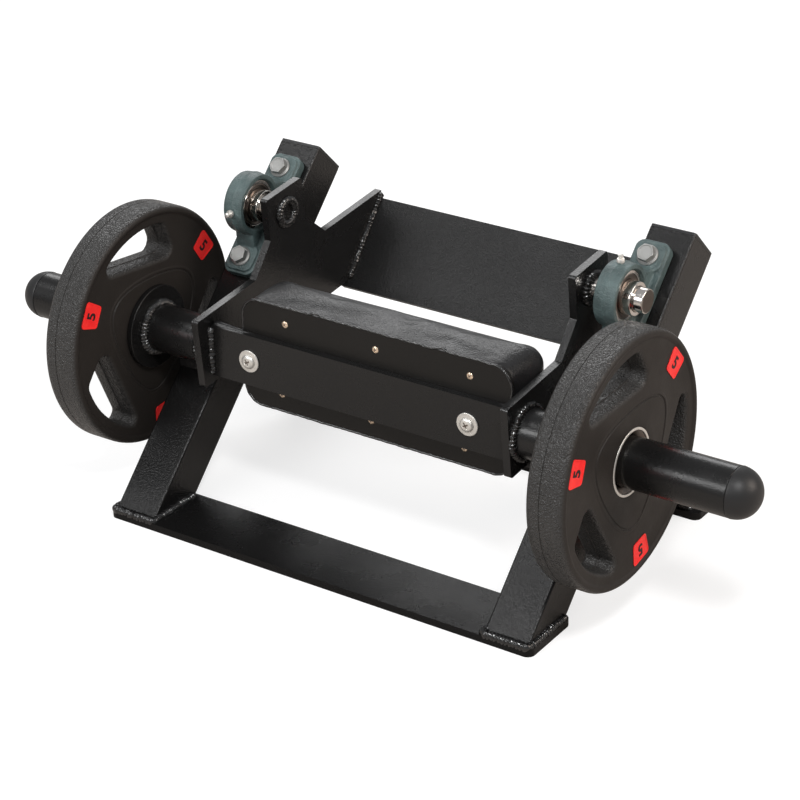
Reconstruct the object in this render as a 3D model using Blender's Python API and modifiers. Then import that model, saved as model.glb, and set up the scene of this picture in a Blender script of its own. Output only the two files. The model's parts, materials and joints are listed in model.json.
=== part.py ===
"""Tibialis trainer: a floor stand with two leaning posts, and a lever that swings between them.

The lever hangs on two stub shafts in pillow blocks. A person's insteps go under the pad, the heels stand
against the rear plate, and lifting the toes raises the weight plates on the two load tubes.

Metres. Seen from the front, +X is to the right, +Y to the back and +Z up. The origin is the middle of
the underside of the front floor plate.
"""

import math

import bmesh
import bpy
from mathutils import Matrix, Vector

# Fits
GAP = 0.0003  # between pieces that touch
HOLE_PLAY = 0.0005  # of a drilled hole over its bolt, on the radius
OVERRUN = 0.002  # how far a cutter runs past the face that it cuts
CUT_EDGE = 0.0008  # on the edges of plate and flat bar

# Floor plates
FLOOR_LENGTH = 0.510
REAR_FLOOR_EXTRA = 0.008  # of the rear plate's end past the front one's
FLOOR_DEPTH = 0.075
FLOOR_THICKNESS = 0.008
FLOOR_CORNER = 0.008

# Posts and struts, of one square tube
TUBE_SIDE = 0.050
TUBE_WALL = 0.003
TUBE_CORNER = 0.004
POST_LEAN = math.radians(45)  # from upright, to the back
POST_LENGTH = 0.433  # along the front face
POST_END_INSET = 0.005  # from the end of the floor plate
POST_FOOT_INSET = 0.004  # from the front edge of the floor plate
STRUT_AT = 0.2196  # up the post's front face to the strut's lower side
CAP_FLANGE = 0.003
CAP_PLUG_DEPTH = 0.012
CAP_PLUG_WALL = 0.002

# Pillow blocks
BEARING_FROM_TOP = 0.0875  # down the post's front face to the shaft axis
BLOCK_X = {"left": -0.2250, "right": 0.2175}  # of the blocks' middles, which aren't alike in the photograph
SHAFT_HEIGHT = 0.0365  # of the shaft axis over the block's base
BLOCK_LENGTH = 0.140
BLOCK_WIDTH = 0.038
BLOCK_CORNER = 0.006
FOOT_THICKNESS = 0.014
SHOULDER_PLAY = 0.001  # from the foot of the eye's shoulder to a bolt's flange
SHOULDER_ANGLE = math.radians(-20)
EYE_RADIUS = 0.0335
EYE_WIDTH = 0.0235
EYE_EDGE = 0.0015
BOLT_SPACING = 0.105

# Bearings
SHAFT_RADIUS = 0.0125
BEARING_RADIUS = 0.026
OUTER_RING_WIDTH = 0.017
OUTER_SHOULDER = 0.0223
INNER_SHOULDER = 0.017
INNER_RING_LEFT = 0.0143  # from the balls to the ring's ends
INNER_RING_RIGHT = 0.0197
PITCH_RADIUS = 0.01925
BALL_RADIUS = 0.00397
BALL_COUNT = 9
CAGE_THICKNESS = 0.0017
CAGE_WIDTH = 0.0092
SEAL_THICKNESS = 0.001
SEAL_INSET = 0.0008  # from the outer ring's face
SEAL_PLAY = 0.0004  # round the inner ring
SET_SCREW_RADIUS = 0.003
SET_SCREW_AT = 0.0150  # to the right of the balls
SET_SCREW_TURN = math.radians(58)  # forwards from the top of the ring

# Block bolts, their nuts and the grease nipples
BOLT_RADIUS = 0.005
BOLT_FLANGE_RADIUS = 0.011
BOLT_FLANGE = 0.002
BOLT_HEX_RADIUS = 0.0093
BOLT_HEX = 0.0062
BOLT_SPARE_THREAD = 0.004
NUT_HEIGHT = 0.008
NUT_HEX_RADIUS = 0.0095
NIPPLE_OUTLINE = ((0.0, 0.0085), (0.0021, 0.0085), (0.0030, 0.0071), (0.0021, 0.0047), (0.0040, 0.0034))
NIPPLE_SHANK_RADIUS = 0.003
NIPPLE_SHANK = 0.0060
NIPPLE_TURN = {"left": math.radians(45), "right": math.radians(-45)}  # from square to the post

# Lever arms, drawn from the shaft axis: backwards, then up
REST_TILT = math.radians(5.5)
ARM_THICKNESS = 0.008
ARM_CLEARANCE = 0.013  # to the posts
ARM_FRONT = 0.160
ARM_REAR = 0.220  # of the slanting end's line, level with the shaft axis
ARM_REAR_SLANT = math.radians(45)  # of that end, from upright
ARM_TOP = -0.051
ARM_BOTTOM = -0.127
EAR_HALF_WIDTH = 0.0305
EAR_HEIGHT = 0.026
EAR_FLARE = 0.031
ARM_CORNER = 0.003
STUB_END = 0.248  # of the stub shafts, from the middle of the object
STUB_CHAMFER = 0.0009

# Rear plate
REAR_PLATE_WIDTH = 0.105
REAR_PLATE_THICKNESS = 0.008
REAR_PLATE_OVERHANG = 0.007  # past the lower corner of the arms' slanting ends

# Load tubes
LOAD_FORWARD = 0.1303  # of the tubes' axis from the shaft axis, along the arms
LOAD_DOWN = 0.0905  # of the tubes' axis below the shaft axis, square to the arms
LOAD_RADIUS = 0.0248
LOAD_WALL = 0.003
LOAD_SLEEVE = 0.1445  # of the tube past its stop disc
TUBE_CAP_LENGTH = 0.025
TUBE_CAP_SPIGOT = 0.014
DISC_RADIUS = 0.044
DISC_THICKNESS = 0.006
DISC_FROM_POST = 0.0085

# Rest tabs, under the load tubes
TAB_SHORT = 0.0085  # of the tab's end from the post's outer face
TAB_FRONT = 0.0005  # in front of the load axis
TAB_TOP = 0.0275  # below the load axis
TAB_THICKNESS = 0.010
TAB_CHAMFER = 0.008

# Front bar and pad bolts, about the bar's middle
BAR_HEIGHT = 0.0555
BAR_THICKNESS = 0.008
BAR_FORWARD = 0.0095  # of its middle from the load axis
BAR_DOWN = 0.0015  # of its middle below the load axis
PAD_BOLT_FROM_ARM = 0.0485
PAD_BOLT_RADIUS = 0.004
PAD_BOLT_HEAD_RADIUS = 0.0075
PAD_BOLT_HEAD = 0.0035
PAD_BOLT_HEAD_TOP = 0.0053  # radius of the head's flat top
PAD_BOLT_HEAD_RIM = 0.0016  # height of the head's rim
WASHER_RADIUS = 0.012
WASHER_THICKNESS = 0.0016
NUT_WALL = 0.0012
TEE_FLANGE_RADIUS = 0.009
TEE_FLANGE = 0.0014

# Pad
PAD_FROM_LEFT_ARM = 0.034
PAD_FROM_RIGHT_ARM = 0.003
PAD_HEIGHT = 0.120
PAD_CORNER = 0.022
PAD_UP = 0.0072  # of its middle over the bar's middle
BOARD_THICKNESS = 0.012
BOARD_INSET = 0.0015  # of the board's edge from the cushion's widest line
CUSHION_RINGS = (  # height over the board, inset of the long sides and inset of the ends
    (0.0000, 0.0015, 0.0015),
    (0.0038, 0.0008, 0.0006),
    (0.0200, 0.0000, -0.0018),
    (0.0400, 0.0008, -0.0020),
    (0.0485, 0.0042, 0.0010),
    (0.0530, 0.0100, 0.0065),
    (0.0545, 0.0190, 0.0160),
    (0.0553, 0.0370, 0.0360),
)
CUSHION_CORNER = 0.009  # smallest corner radius of a ring

# Weight plates, as seen from the right: angles from straight back, turning upwards
PLATE_RADIUS = 0.1268
PLATE_WIDTH = 0.0368
PLATE_WEB_WIDTH = 0.0356
PLATE_HUB_RADIUS = 0.060
PLATE_RIM_FLAT = 0.1150
PLATE_RIM_RADIUS = 0.1208  # of the rim's widest line
PLATE_RIM_WIDTH = 0.0400
PLATE_TREAD_WIDTH = 0.030
PLATE_SHOULDER_RADIUS = 0.1254
PLATE_SHOULDER_WIDTH = 0.0365
PLATE_TURN = {"left": math.radians(-8), "right": 0.0}
BORE_RADIUS = 0.0255
STEEL_RING_RADIUS = 0.0337
STEEL_RING_FACE = 0.0025
STEEL_RING_CHAMFER = 0.005
SLOT_COUNT = 3
SLOT_FACING = math.radians(91)  # of the first slot's straight side
SLOT_NEAR = 0.0700
SLOT_FAR = 0.1070
SLOT_TOE = 0.069  # from the slot's middle line to its narrow end
SLOT_HEEL = 0.034  # from the slot's middle line to its wide end
SLOT_TOE_ANGLE = math.radians(43)
SLOT_HEEL_ANGLE = math.radians(7)
SLOT_CORNERS = {"toe": 0.0050, "heel": 0.0090}
CORE_RADIUS = 0.118
CORE_THICKNESS = 0.020
CORE_COVER = 0.005  # of rubber round the grip slots

# Counts of sides, fewer where a piece is small
SIDES_PLATE = 40
SIDES_TUBE = 28
SIDES_RING = 24
SIDES_SMALL = 12

# Colours, roughness and metallic value
BLACK_COAT = ((0.012, 0.012, 0.013), 0.42, 0.0)
GREY_CASTING = ((0.105, 0.150, 0.145), 0.45, 0.0)
STEEL = ((0.56, 0.55, 0.53), 0.28, 1.0)
ZINC = ((0.62, 0.61, 0.58), 0.32, 1.0)
IRON = ((0.090, 0.088, 0.085), 0.60, 1.0)
RUBBER = ((0.014, 0.014, 0.015), 0.62, 0.0)
PLASTIC = ((0.013, 0.013, 0.014), 0.50, 0.0)
LEATHERETTE = ((0.011, 0.011, 0.012), 0.36, 0.0)
PLYWOOD = ((0.300, 0.185, 0.090), 0.65, 0.0)

# Places that follow from the sizes
SIDES = (("left", -1), ("right", 1))
POST_X = FLOOR_LENGTH / 2 - POST_END_INSET - TUBE_SIDE / 2
POST_Y = -FLOOR_DEPTH / 2 + POST_FOOT_INSET
POST_OUTER = POST_X + TUBE_SIDE / 2
BEARING_AT = POST_LENGTH - BEARING_FROM_TOP
AXIS_OVER_POST = SHAFT_HEIGHT + GAP
PIVOT_Y = POST_Y + BEARING_AT * math.sin(POST_LEAN) - AXIS_OVER_POST * math.cos(POST_LEAN)
PIVOT_Z = FLOOR_THICKNESS + BEARING_AT * math.cos(POST_LEAN) + AXIS_OVER_POST * math.sin(POST_LEAN)
REAR_FLOOR_LENGTH = FLOOR_LENGTH + 2 * REAR_FLOOR_EXTRA
REAR_FLOOR_Y = POST_Y + (STRUT_AT + TUBE_SIDE / 2) / math.sin(POST_LEAN)
ARM_OUTER = POST_X - TUBE_SIDE / 2 - ARM_CLEARANCE
ARM_INNER = ARM_OUTER - ARM_THICKNESS
DISC_OUTER_FACE = POST_OUTER + DISC_FROM_POST + DISC_THICKNESS
LOAD_END = DISC_OUTER_FACE + LOAD_SLEEVE
TAB_OUTER_END = POST_OUTER - TAB_SHORT
PAD_BOLT_SPACING = 2 * (ARM_INNER - PAD_BOLT_FROM_ARM)
PAD_LENGTH = 2 * ARM_INNER - PAD_FROM_LEFT_ARM - PAD_FROM_RIGHT_ARM
PAD_TO_RIGHT = (PAD_FROM_LEFT_ARM - PAD_FROM_RIGHT_ARM) / 2
BOLT_HOLE_RADIUS = BOLT_RADIUS + HOLE_PLAY
GROOVE_RADIUS = BALL_RADIUS + GAP
FOOT_TOP = FOOT_THICKNESS - SHAFT_HEIGHT
SHOULDER_REACH = BOLT_SPACING / 2 - BOLT_FLANGE_RADIUS - SHOULDER_PLAY
PLATE_X = DISC_OUTER_FACE + GAP + PLATE_WIDTH / 2
PLATE_SAG = BORE_RADIUS - LOAD_RADIUS - GAP  # a plate hangs from the top of its bore

# Turns local X to the back, local Y up and local Z to the right
ALONG_X = Matrix(((0, 0, 1, 0), (1, 0, 0, 0), (0, 1, 0, 0), (0, 0, 0, 1)))
ALONG_Y = Matrix.Rotation(-math.pi / 2, 4, "X")
FORWARD = Matrix.Rotation(math.pi / 2, 4, "X")


def clear_scene():
    for obj in list(bpy.data.objects):
        bpy.data.objects.remove(obj, do_unlink=True)


def new_collection(name):
    collection = bpy.data.collections.new(name)
    bpy.context.scene.collection.children.link(collection)
    return collection


def empty(name, frame, parent=None):
    """A frame that pieces hang from."""
    obj = bpy.data.objects.new(name, None)
    obj.empty_display_size = 0.03
    obj.parent = parent
    obj.matrix_basis = frame
    PARTS.objects.link(obj)
    return obj


def place(name, mesh, frame, parent):
    obj = bpy.data.objects.new(name, mesh)
    obj.parent = parent
    obj.matrix_basis = frame
    PARTS.objects.link(obj)
    return obj


def finish(obj, look):
    """Gives the piece its own material and smooth round faces."""
    colour, roughness, metallic = look
    material = bpy.data.materials.new(obj.name + "_finish")
    material.use_nodes = True
    shader = material.node_tree.nodes["Principled BSDF"]
    shader.inputs["Base Color"].default_value = (*colour, 1.0)
    shader.inputs["Roughness"].default_value = roughness
    shader.inputs["Metallic"].default_value = metallic
    obj.data.materials.append(material)
    obj.data.shade_smooth()
    obj.data.set_sharp_from_angle(angle=math.radians(35))
    return obj


def shift(x=0.0, y=0.0, z=0.0):
    return Matrix.Translation((x, y, z))


def outboard(sign):
    """Turns local Z away from the middle of the object."""
    return ALONG_X if sign > 0 else Matrix.Rotation(math.pi, 4, "Z") @ ALONG_X


def mesh_from(name, build):
    """A mesh that the function fills in through bmesh."""
    mesh = bpy.data.meshes.new(name)
    shape = bmesh.new()
    build(shape)
    shape.to_mesh(mesh)
    shape.free()
    return mesh


def block(name, size, frame, parent=None):
    scaled = Matrix.Diagonal((*size, 1.0))
    mesh = mesh_from(name, lambda shape: bmesh.ops.create_cube(shape, size=1.0, matrix=scaled))
    return place(name, mesh, frame, parent)


def cylinder(name, radius, length, frame, parent=None, sides=SIDES_SMALL):
    def build(shape):
        bmesh.ops.create_cone(
            shape, cap_ends=True, segments=sides, radius1=radius, radius2=radius, depth=length
        )

    return place(name, mesh_from(name, build), frame, parent)


def extrusion(name, outlines, thickness, frame, parent=None):
    """A flat outline, with any inner ones as holes, made as thick as asked about its plane."""
    curve = bpy.data.curves.new(name, "CURVE")
    curve.dimensions = "2D"
    curve.fill_mode = "BOTH"
    curve.extrude = thickness / 2
    for outline in outlines:
        spline = curve.splines.new("POLY")
        spline.points.add(len(outline) - 1)
        for point, (x, y) in zip(spline.points, outline):
            point.co = (x, y, 0.0, 1.0)
        spline.use_cyclic_u = True
    guide = bpy.data.objects.new(name + "_outline", curve)
    bpy.context.scene.collection.objects.link(guide)
    graph = bpy.context.evaluated_depsgraph_get()
    mesh = bpy.data.meshes.new_from_object(guide.evaluated_get(graph))
    bpy.data.objects.remove(guide)
    shape = bmesh.new()
    shape.from_mesh(mesh)
    bmesh.ops.remove_doubles(shape, verts=shape.verts, dist=0.00001)
    shape.to_mesh(mesh)
    shape.free()
    return place(name, mesh, frame, parent)


def turned(name, profile, frame, parent=None, sides=SIDES_RING, closed=False):
    """A profile of radii and heights, from its top down its outer side, turned about local Z."""

    def build(shape):
        points = [shape.verts.new((radius, 0.0, height)) for radius, height in profile]
        for first, second in zip(points, points[1:] + points[:1] if closed else points[1:]):
            shape.edges.new((first, second))

    obj = place(name, mesh_from(name, build), frame, parent)
    screw = obj.modifiers.new("turn", "SCREW")
    screw.steps = sides
    screw.render_steps = sides
    screw.use_merge_vertices = True
    screw.merge_threshold = 0.00001
    return obj


def bevel(obj, width, segments=1):
    modifier = obj.modifiers.new("edges", "BEVEL")
    modifier.width = width
    modifier.segments = segments
    modifier.limit_method = "ANGLE"
    modifier.angle_limit = math.radians(50)
    return obj


def combine(obj, other, operation):
    """Joins the other shape to the piece, or cuts it out of it, and puts it with the cutters."""
    modifier = obj.modifiers.new(other.name, "BOOLEAN")
    modifier.operation = operation
    modifier.solver = "EXACT"
    modifier.object = other
    if other.name in PARTS.objects:
        PARTS.objects.unlink(other)
        CUTTERS.objects.link(other)
    other.hide_render = True
    other.display_type = "WIRE"
    return obj


def circle(radius, sides):
    turns = [2 * math.pi * side / sides for side in range(sides)]
    return [(radius * math.cos(turn), radius * math.sin(turn)) for turn in turns]


def filleted(corners, radii, steps=3):
    """The outline with each corner rounded to its radius."""
    outline = []
    for index, (corner, radius) in enumerate(zip(corners, radii)):
        here = Vector(corner)
        if radius == 0:
            outline.append(tuple(here))
            continue
        back = (Vector(corners[index - 1]) - here).normalized()
        ahead = (Vector(corners[(index + 1) % len(corners)]) - here).normalized()
        half = back.angle(ahead) / 2
        centre = here + (back + ahead).normalized() * radius / math.sin(half)
        start = here + back * radius / math.tan(half) - centre
        end = here + ahead * radius / math.tan(half) - centre
        for step in range(steps + 1):
            outline.append(tuple(centre + start.lerp(end, step / steps).normalized() * radius))
    return outline


def rectangle(width, height, radius=0.0, steps=3):
    x, y = width / 2, height / 2
    return filleted([(-x, -y), (x, -y), (x, y), (-x, y)], [radius] * 4, steps)


def floor_plate(name, length, middle_y):
    outline = rectangle(length, FLOOR_DEPTH, FLOOR_CORNER)
    frame = shift(y=middle_y, z=FLOOR_THICKNESS / 2)
    plate = extrusion(name, [outline], FLOOR_THICKNESS, frame)
    return finish(bevel(plate, CUT_EDGE), BLACK_COAT)


def square_tube(name, length, frame, parent):
    """A square tube along the frame's Z, its middle at the frame's origin."""
    bore = TUBE_SIDE - 2 * TUBE_WALL
    outlines = [rectangle(TUBE_SIDE, TUBE_SIDE, TUBE_CORNER), rectangle(bore, bore)]
    return extrusion(name, outlines, length, frame, parent)


def post(side, sign, foot, below_floor):
    """The post and its top cap. The foot's frame has Y up the post and Z out of its front face."""
    middle = shift(y=(POST_LENGTH - OVERRUN) / 2, z=-TUBE_SIDE / 2)
    body = square_tube(f"post_{side}", POST_LENGTH + OVERRUN, middle @ ALONG_Y, foot)
    combine(body, below_floor, "DIFFERENCE")
    for number, offset in enumerate((-BOLT_SPACING / 2, BOLT_SPACING / 2)):
        hole = cylinder(
            f"post_hole_{side}_{number}",
            BOLT_HOLE_RADIUS,
            TUBE_SIDE + 2 * OVERRUN,
            shift(BLOCK_X[side] - sign * POST_X, BEARING_AT + offset, -TUBE_SIDE / 2),
            foot,
        )
        combine(body, hole, "DIFFERENCE")
    finish(body, BLACK_COAT)

    flange_middle = shift(y=POST_LENGTH + GAP + CAP_FLANGE / 2, z=-TUBE_SIDE / 2)
    flange = [rectangle(TUBE_SIDE, TUBE_SIDE, TUBE_CORNER)]
    cap = extrusion(f"post_cap_{side}", flange, CAP_FLANGE, flange_middle @ ALONG_Y, foot)
    outer = TUBE_SIDE - 2 * (TUBE_WALL + GAP)
    inner = outer - 2 * CAP_PLUG_WALL
    depth = CAP_PLUG_DEPTH + CAP_FLANGE / 2
    plug = extrusion(
        f"post_cap_plug_{side}",
        [rectangle(outer, outer), rectangle(inner, inner)],
        depth,
        flange_middle @ shift(y=-depth / 2) @ ALONG_Y,
        foot,
    )
    combine(cap, plug, "UNION")
    finish(cap, PLASTIC)


def strut(side, foot, below_floor):
    """The brace square to the post, from its rear face down to the rear floor plate."""
    top = -TUBE_SIDE - GAP
    bottom = -(STRUT_AT + TUBE_SIDE) / math.tan(POST_LEAN) - OVERRUN
    middle = shift(y=STRUT_AT + TUBE_SIDE / 2, z=(top + bottom) / 2)
    body = square_tube(f"rear_strut_{side}", top - bottom, middle, foot)
    finish(combine(body, below_floor, "DIFFERENCE"), BLACK_COAT)


def housing(side, bearing, turn):
    """The cast block: a foot, an eye on shoulders, its bore, two bolt holes and the nipple's hole."""
    foot_middle = shift(z=FOOT_TOP - FOOT_THICKNESS / 2)
    foot_outline = rectangle(BLOCK_WIDTH, BLOCK_LENGTH, BLOCK_CORNER)
    body = extrusion(f"bearing_housing_{side}", [foot_outline], FOOT_THICKNESS, foot_middle, bearing)
    bevel(body, EYE_EDGE)
    low = FOOT_TOP - FOOT_THICKNESS / 2
    steps = 14
    sweep = (math.pi - 2 * SHOULDER_ANGLE) / steps
    angles = [SHOULDER_ANGLE + sweep * step for step in range(steps + 1)]
    arc = [(EYE_RADIUS * math.cos(angle), EYE_RADIUS * math.sin(angle)) for angle in angles]
    sides = [(-SHOULDER_REACH, low), (SHOULDER_REACH, low), (SHOULDER_REACH, FOOT_TOP)]
    outline = sides + arc + [(-SHOULDER_REACH, FOOT_TOP)]
    eye = extrusion(f"bearing_eye_{side}", [outline], EYE_WIDTH, ALONG_X, bearing)
    combine(body, bevel(eye, EYE_EDGE), "UNION")
    bore_length = EYE_WIDTH + 2 * OVERRUN
    bore_radius = BEARING_RADIUS + GAP
    bore = cylinder(f"bearing_bore_{side}", bore_radius, bore_length, ALONG_X, bearing, SIDES_RING)
    combine(body, bore, "DIFFERENCE")
    for number, offset in enumerate((-BOLT_SPACING / 2, BOLT_SPACING / 2)):
        hole_length = FOOT_THICKNESS + 2 * OVERRUN
        hole_middle = foot_middle @ shift(y=offset)
        name = f"foot_hole_{side}_{number}"
        combine(body, cylinder(name, BOLT_HOLE_RADIUS, hole_length, hole_middle, bearing), "DIFFERENCE")
    depth = NIPPLE_SHANK + GAP + OVERRUN
    middle = turn @ shift(z=EYE_RADIUS + OVERRUN - depth / 2)
    name = f"nipple_hole_{side}"
    combine(body, cylinder(name, NIPPLE_SHANK_RADIUS + GAP, depth, middle, bearing), "DIFFERENCE")
    finish(body, GREY_CASTING)


def nipple(side, bearing, turn):
    """The grease nipple, screwed into the top of the eye."""
    profile = [
        *NIPPLE_OUTLINE,
        (NIPPLE_OUTLINE[-1][0], GAP),
        (NIPPLE_SHANK_RADIUS, GAP),
        (NIPPLE_SHANK_RADIUS, -NIPPLE_SHANK),
        (0.0, -NIPPLE_SHANK),
    ]
    frame = turn @ shift(z=EYE_RADIUS)
    body = turned(f"grease_nipple_{side}", profile, frame, bearing, sides=10)
    finish(body, ZINC)


def groove(shoulder, outward):
    """The ball track's section: radius and height from its upper shoulder to its lower one."""
    half = math.sqrt(GROOVE_RADIUS**2 - (shoulder - PITCH_RADIUS) ** 2)
    start = math.asin(half / GROOVE_RADIUS)
    angles = [start, start / 2, 0.0, -start / 2, -start]
    return [
        (PITCH_RADIUS + outward * GROOVE_RADIUS * math.cos(angle), GROOVE_RADIUS * math.sin(angle))
        for angle in angles
    ]


def outer_ring(side, sign, bearing):
    half = OUTER_RING_WIDTH / 2
    track = groove(OUTER_SHOULDER, 1)
    profile = [
        (BEARING_RADIUS, half),
        (BEARING_RADIUS, -half),
        (OUTER_SHOULDER, -half),
        *reversed(track),
        (OUTER_SHOULDER, half),
    ]
    ring = turned(f"bearing_outer_ring_{side}", profile, outboard(sign), bearing, closed=True)
    finish(ring, STEEL)


def seals(side, sign, bearing):
    """The two sealing discs between the rings."""
    middle = OUTER_RING_WIDTH / 2 - SEAL_INSET - SEAL_THICKNESS / 2
    outer = OUTER_SHOULDER - GAP
    inner = INNER_SHOULDER + SEAL_PLAY
    high, low = SEAL_THICKNESS / 2, -SEAL_THICKNESS / 2
    profile = [(outer, high), (outer, low), (inner, low), (inner, high)]
    for where, direction in (("inner", -1), ("outer", 1)):
        frame = outboard(sign) @ shift(z=direction * middle)
        name = f"bearing_seal_{where}_{side}"
        finish(turned(name, profile, frame, bearing, closed=True), RUBBER)


def inner_ring(side, swing):
    """The long inner ring, with the hole of its set screw. Both rings have their long end on the right."""
    bore = SHAFT_RADIUS + GAP
    profile = [
        (INNER_SHOULDER, INNER_RING_RIGHT),
        *groove(INNER_SHOULDER, -1),
        (INNER_SHOULDER, -INNER_RING_LEFT),
        (bore, -INNER_RING_LEFT),
        (bore, INNER_RING_RIGHT),
    ]
    frame = shift(x=BLOCK_X[side]) @ ALONG_X
    ring = turned(f"bearing_inner_ring_{side}", profile, frame, swing, closed=True)
    across = shift(z=SET_SCREW_AT) @ Matrix.Rotation(SET_SCREW_TURN, 4, "Z") @ ALONG_Y
    length = 2 * (INNER_SHOULDER - SHAFT_RADIUS) + 2 * OVERRUN
    middle = frame @ across @ shift(z=INNER_SHOULDER)
    hole = cylinder(f"set_screw_hole_{side}", SET_SCREW_RADIUS + GAP, length, middle, swing)
    finish(combine(ring, hole, "DIFFERENCE"), STEEL)
    screw_length = INNER_SHOULDER - bore
    screw_frame = frame @ across @ shift(z=bore + screw_length / 2)
    screw = cylinder(f"bearing_set_screw_{side}", SET_SCREW_RADIUS, screw_length, screw_frame, swing)
    finish(screw, ZINC)


def ball_cage(side, sign):
    """The balls and the cage that spaces them, which roll round at their own rate."""
    axis = empty(f"ball_cage_axis_{side}", shift(BLOCK_X[side], PIVOT_Y, PIVOT_Z))
    outer = PITCH_RADIUS + CAGE_THICKNESS / 2
    inner = PITCH_RADIUS - CAGE_THICKNESS / 2
    high, low = CAGE_WIDTH / 2, -CAGE_WIDTH / 2
    profile = [(outer, high), (outer, low), (inner, low), (inner, high)]
    name = f"ball_cage_{side}"
    cage = turned(name, profile, outboard(sign), axis, sides=2 * BALL_COUNT, closed=True)
    for number in range(BALL_COUNT):
        around = Matrix.Rotation(2 * math.pi * number / BALL_COUNT, 4, "Z")
        frame = outboard(sign) @ around @ shift(x=PITCH_RADIUS)

        def build(shape):
            bmesh.ops.create_uvsphere(shape, u_segments=6, v_segments=4, radius=BALL_RADIUS)

        ball = place(f"ball_{side}_{number}", mesh_from("ball", build), frame, axis)
        combine(cage, ball, "UNION")
    finish(cage, STEEL)


def block_bolts(side, bearing):
    """The two flanged bolts through the block and the post, and their nuts on the post's rear face."""
    top = BOLT_FLANGE + BOLT_HEX / 2
    nut_face = -FOOT_THICKNESS - TUBE_SIDE - 3 * GAP
    end = nut_face - NUT_HEIGHT - BOLT_SPARE_THREAD
    profile = [
        (0.0, BOLT_FLANGE),
        (BOLT_FLANGE_RADIUS, BOLT_FLANGE),
        (BOLT_FLANGE_RADIUS, 0.0),
        (BOLT_RADIUS, 0.0),
        (BOLT_RADIUS, end),
        (0.0, end),
    ]
    for where, offset in (("lower", -BOLT_SPACING / 2), ("upper", BOLT_SPACING / 2)):
        seat = shift(y=offset, z=FOOT_TOP + GAP)
        bolt = turned(f"block_bolt_{where}_{side}", profile, seat, bearing, sides=18)
        hexagon = [circle(BOLT_HEX_RADIUS, 6)]
        head_frame = seat @ shift(z=top - BOLT_FLANGE / 2)
        head = extrusion(f"bolt_head_{where}_{side}", hexagon, BOLT_HEX + BOLT_FLANGE, head_frame, bearing)
        finish(combine(bolt, head, "UNION"), ZINC)
        outlines = [circle(NUT_HEX_RADIUS, 6), circle(BOLT_RADIUS + GAP, SIDES_SMALL)]
        nut_frame = seat @ shift(z=nut_face - NUT_HEIGHT / 2)
        nut = extrusion(f"block_nut_{where}_{side}", outlines, NUT_HEIGHT, nut_frame, bearing)
        finish(nut, ZINC)


def stand():
    """Everything that stays on the floor."""
    floor_plate("front_floor_plate", FLOOR_LENGTH, 0.0)
    floor_plate("rear_floor_plate", REAR_FLOOR_LENGTH, REAR_FLOOR_Y)
    cutter_depth = POST_LENGTH
    size = (2 * FLOOR_LENGTH, 2 * POST_LENGTH + REAR_FLOOR_Y, cutter_depth)
    low = shift(y=REAR_FLOOR_Y / 2, z=FLOOR_THICKNESS + GAP - cutter_depth / 2)
    below_floor = block("below_floor", size, low)
    for side, sign in SIDES:
        lean = Matrix.Rotation(math.pi / 2 - POST_LEAN, 4, "X")
        foot = empty(f"post_frame_{side}", shift(sign * POST_X, POST_Y, FLOOR_THICKNESS) @ lean)
        post(side, sign, foot, below_floor)
        strut(side, foot, below_floor)
        at_axis = shift(BLOCK_X[side] - sign * POST_X, BEARING_AT, AXIS_OVER_POST)
        bearing = empty(f"bearing_frame_{side}", at_axis, foot)
        turn = Matrix.Rotation(NIPPLE_TURN[side], 4, "X")
        housing(side, bearing, turn)
        nipple(side, bearing, turn)
        outer_ring(side, sign, bearing)
        seals(side, sign, bearing)
        block_bolts(side, bearing)


def arm_end(height):
    """How far back the slanting end lies at this height over the shaft axis."""
    return ARM_REAR + height * math.tan(ARM_REAR_SLANT)


def arm_outline():
    """The arm seen from the right: a bar with a slanting rear end and an ear up to the shaft."""
    foot = EAR_HALF_WIDTH + EAR_FLARE
    waist = ARM_TOP + EAR_FLARE
    corners = [
        (-ARM_FRONT, ARM_BOTTOM),
        (arm_end(ARM_BOTTOM), ARM_BOTTOM),
        (arm_end(ARM_TOP), ARM_TOP),
        (foot, ARM_TOP),
        (EAR_HALF_WIDTH, waist),
        (EAR_HALF_WIDTH, EAR_HEIGHT),
        (-EAR_HALF_WIDTH, EAR_HEIGHT),
        (-EAR_HALF_WIDTH, waist),
        (-foot, ARM_TOP),
        (-ARM_FRONT, ARM_TOP),
    ]
    rounded = [ARM_CORNER if index in (0, 5, 6, 9) else 0.0 for index in range(len(corners))]
    return filleted(corners, rounded, steps=2)


def arms(swing):
    """The two side arms and the stub shafts that carry them."""
    for side, sign in SIDES:
        middle = shift(x=sign * (ARM_INNER + ARM_THICKNESS / 2)) @ ALONG_X
        outlines = [arm_outline(), circle(SHAFT_RADIUS + GAP, SIDES_RING)]
        finish(extrusion(f"arm_{side}", outlines, ARM_THICKNESS, middle, swing), BLACK_COAT)
        length = STUB_END - ARM_INNER
        frame = shift(x=sign * (ARM_INNER + length / 2)) @ outboard(sign)
        shaft = cylinder(f"pivot_shaft_{side}", SHAFT_RADIUS, length, frame, swing, SIDES_RING)
        finish(bevel(shaft, STUB_CHAMFER), STEEL)


def rear_plate(swing):
    """The heel plate across the slanting ends of the arms."""
    corner = shift(y=arm_end(ARM_BOTTOM), z=ARM_BOTTOM) @ Matrix.Rotation(-ARM_REAR_SLANT, 4, "X")
    across = REAR_PLATE_THICKNESS / 2 + GAP
    middle = corner @ shift(y=across, z=REAR_PLATE_WIDTH / 2 - REAR_PLATE_OVERHANG)
    size = (2 * ARM_OUTER, REAR_PLATE_THICKNESS, REAR_PLATE_WIDTH)
    plate = block("rear_plate", size, middle, swing)
    finish(bevel(plate, CUT_EDGE), BLACK_COAT)


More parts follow.
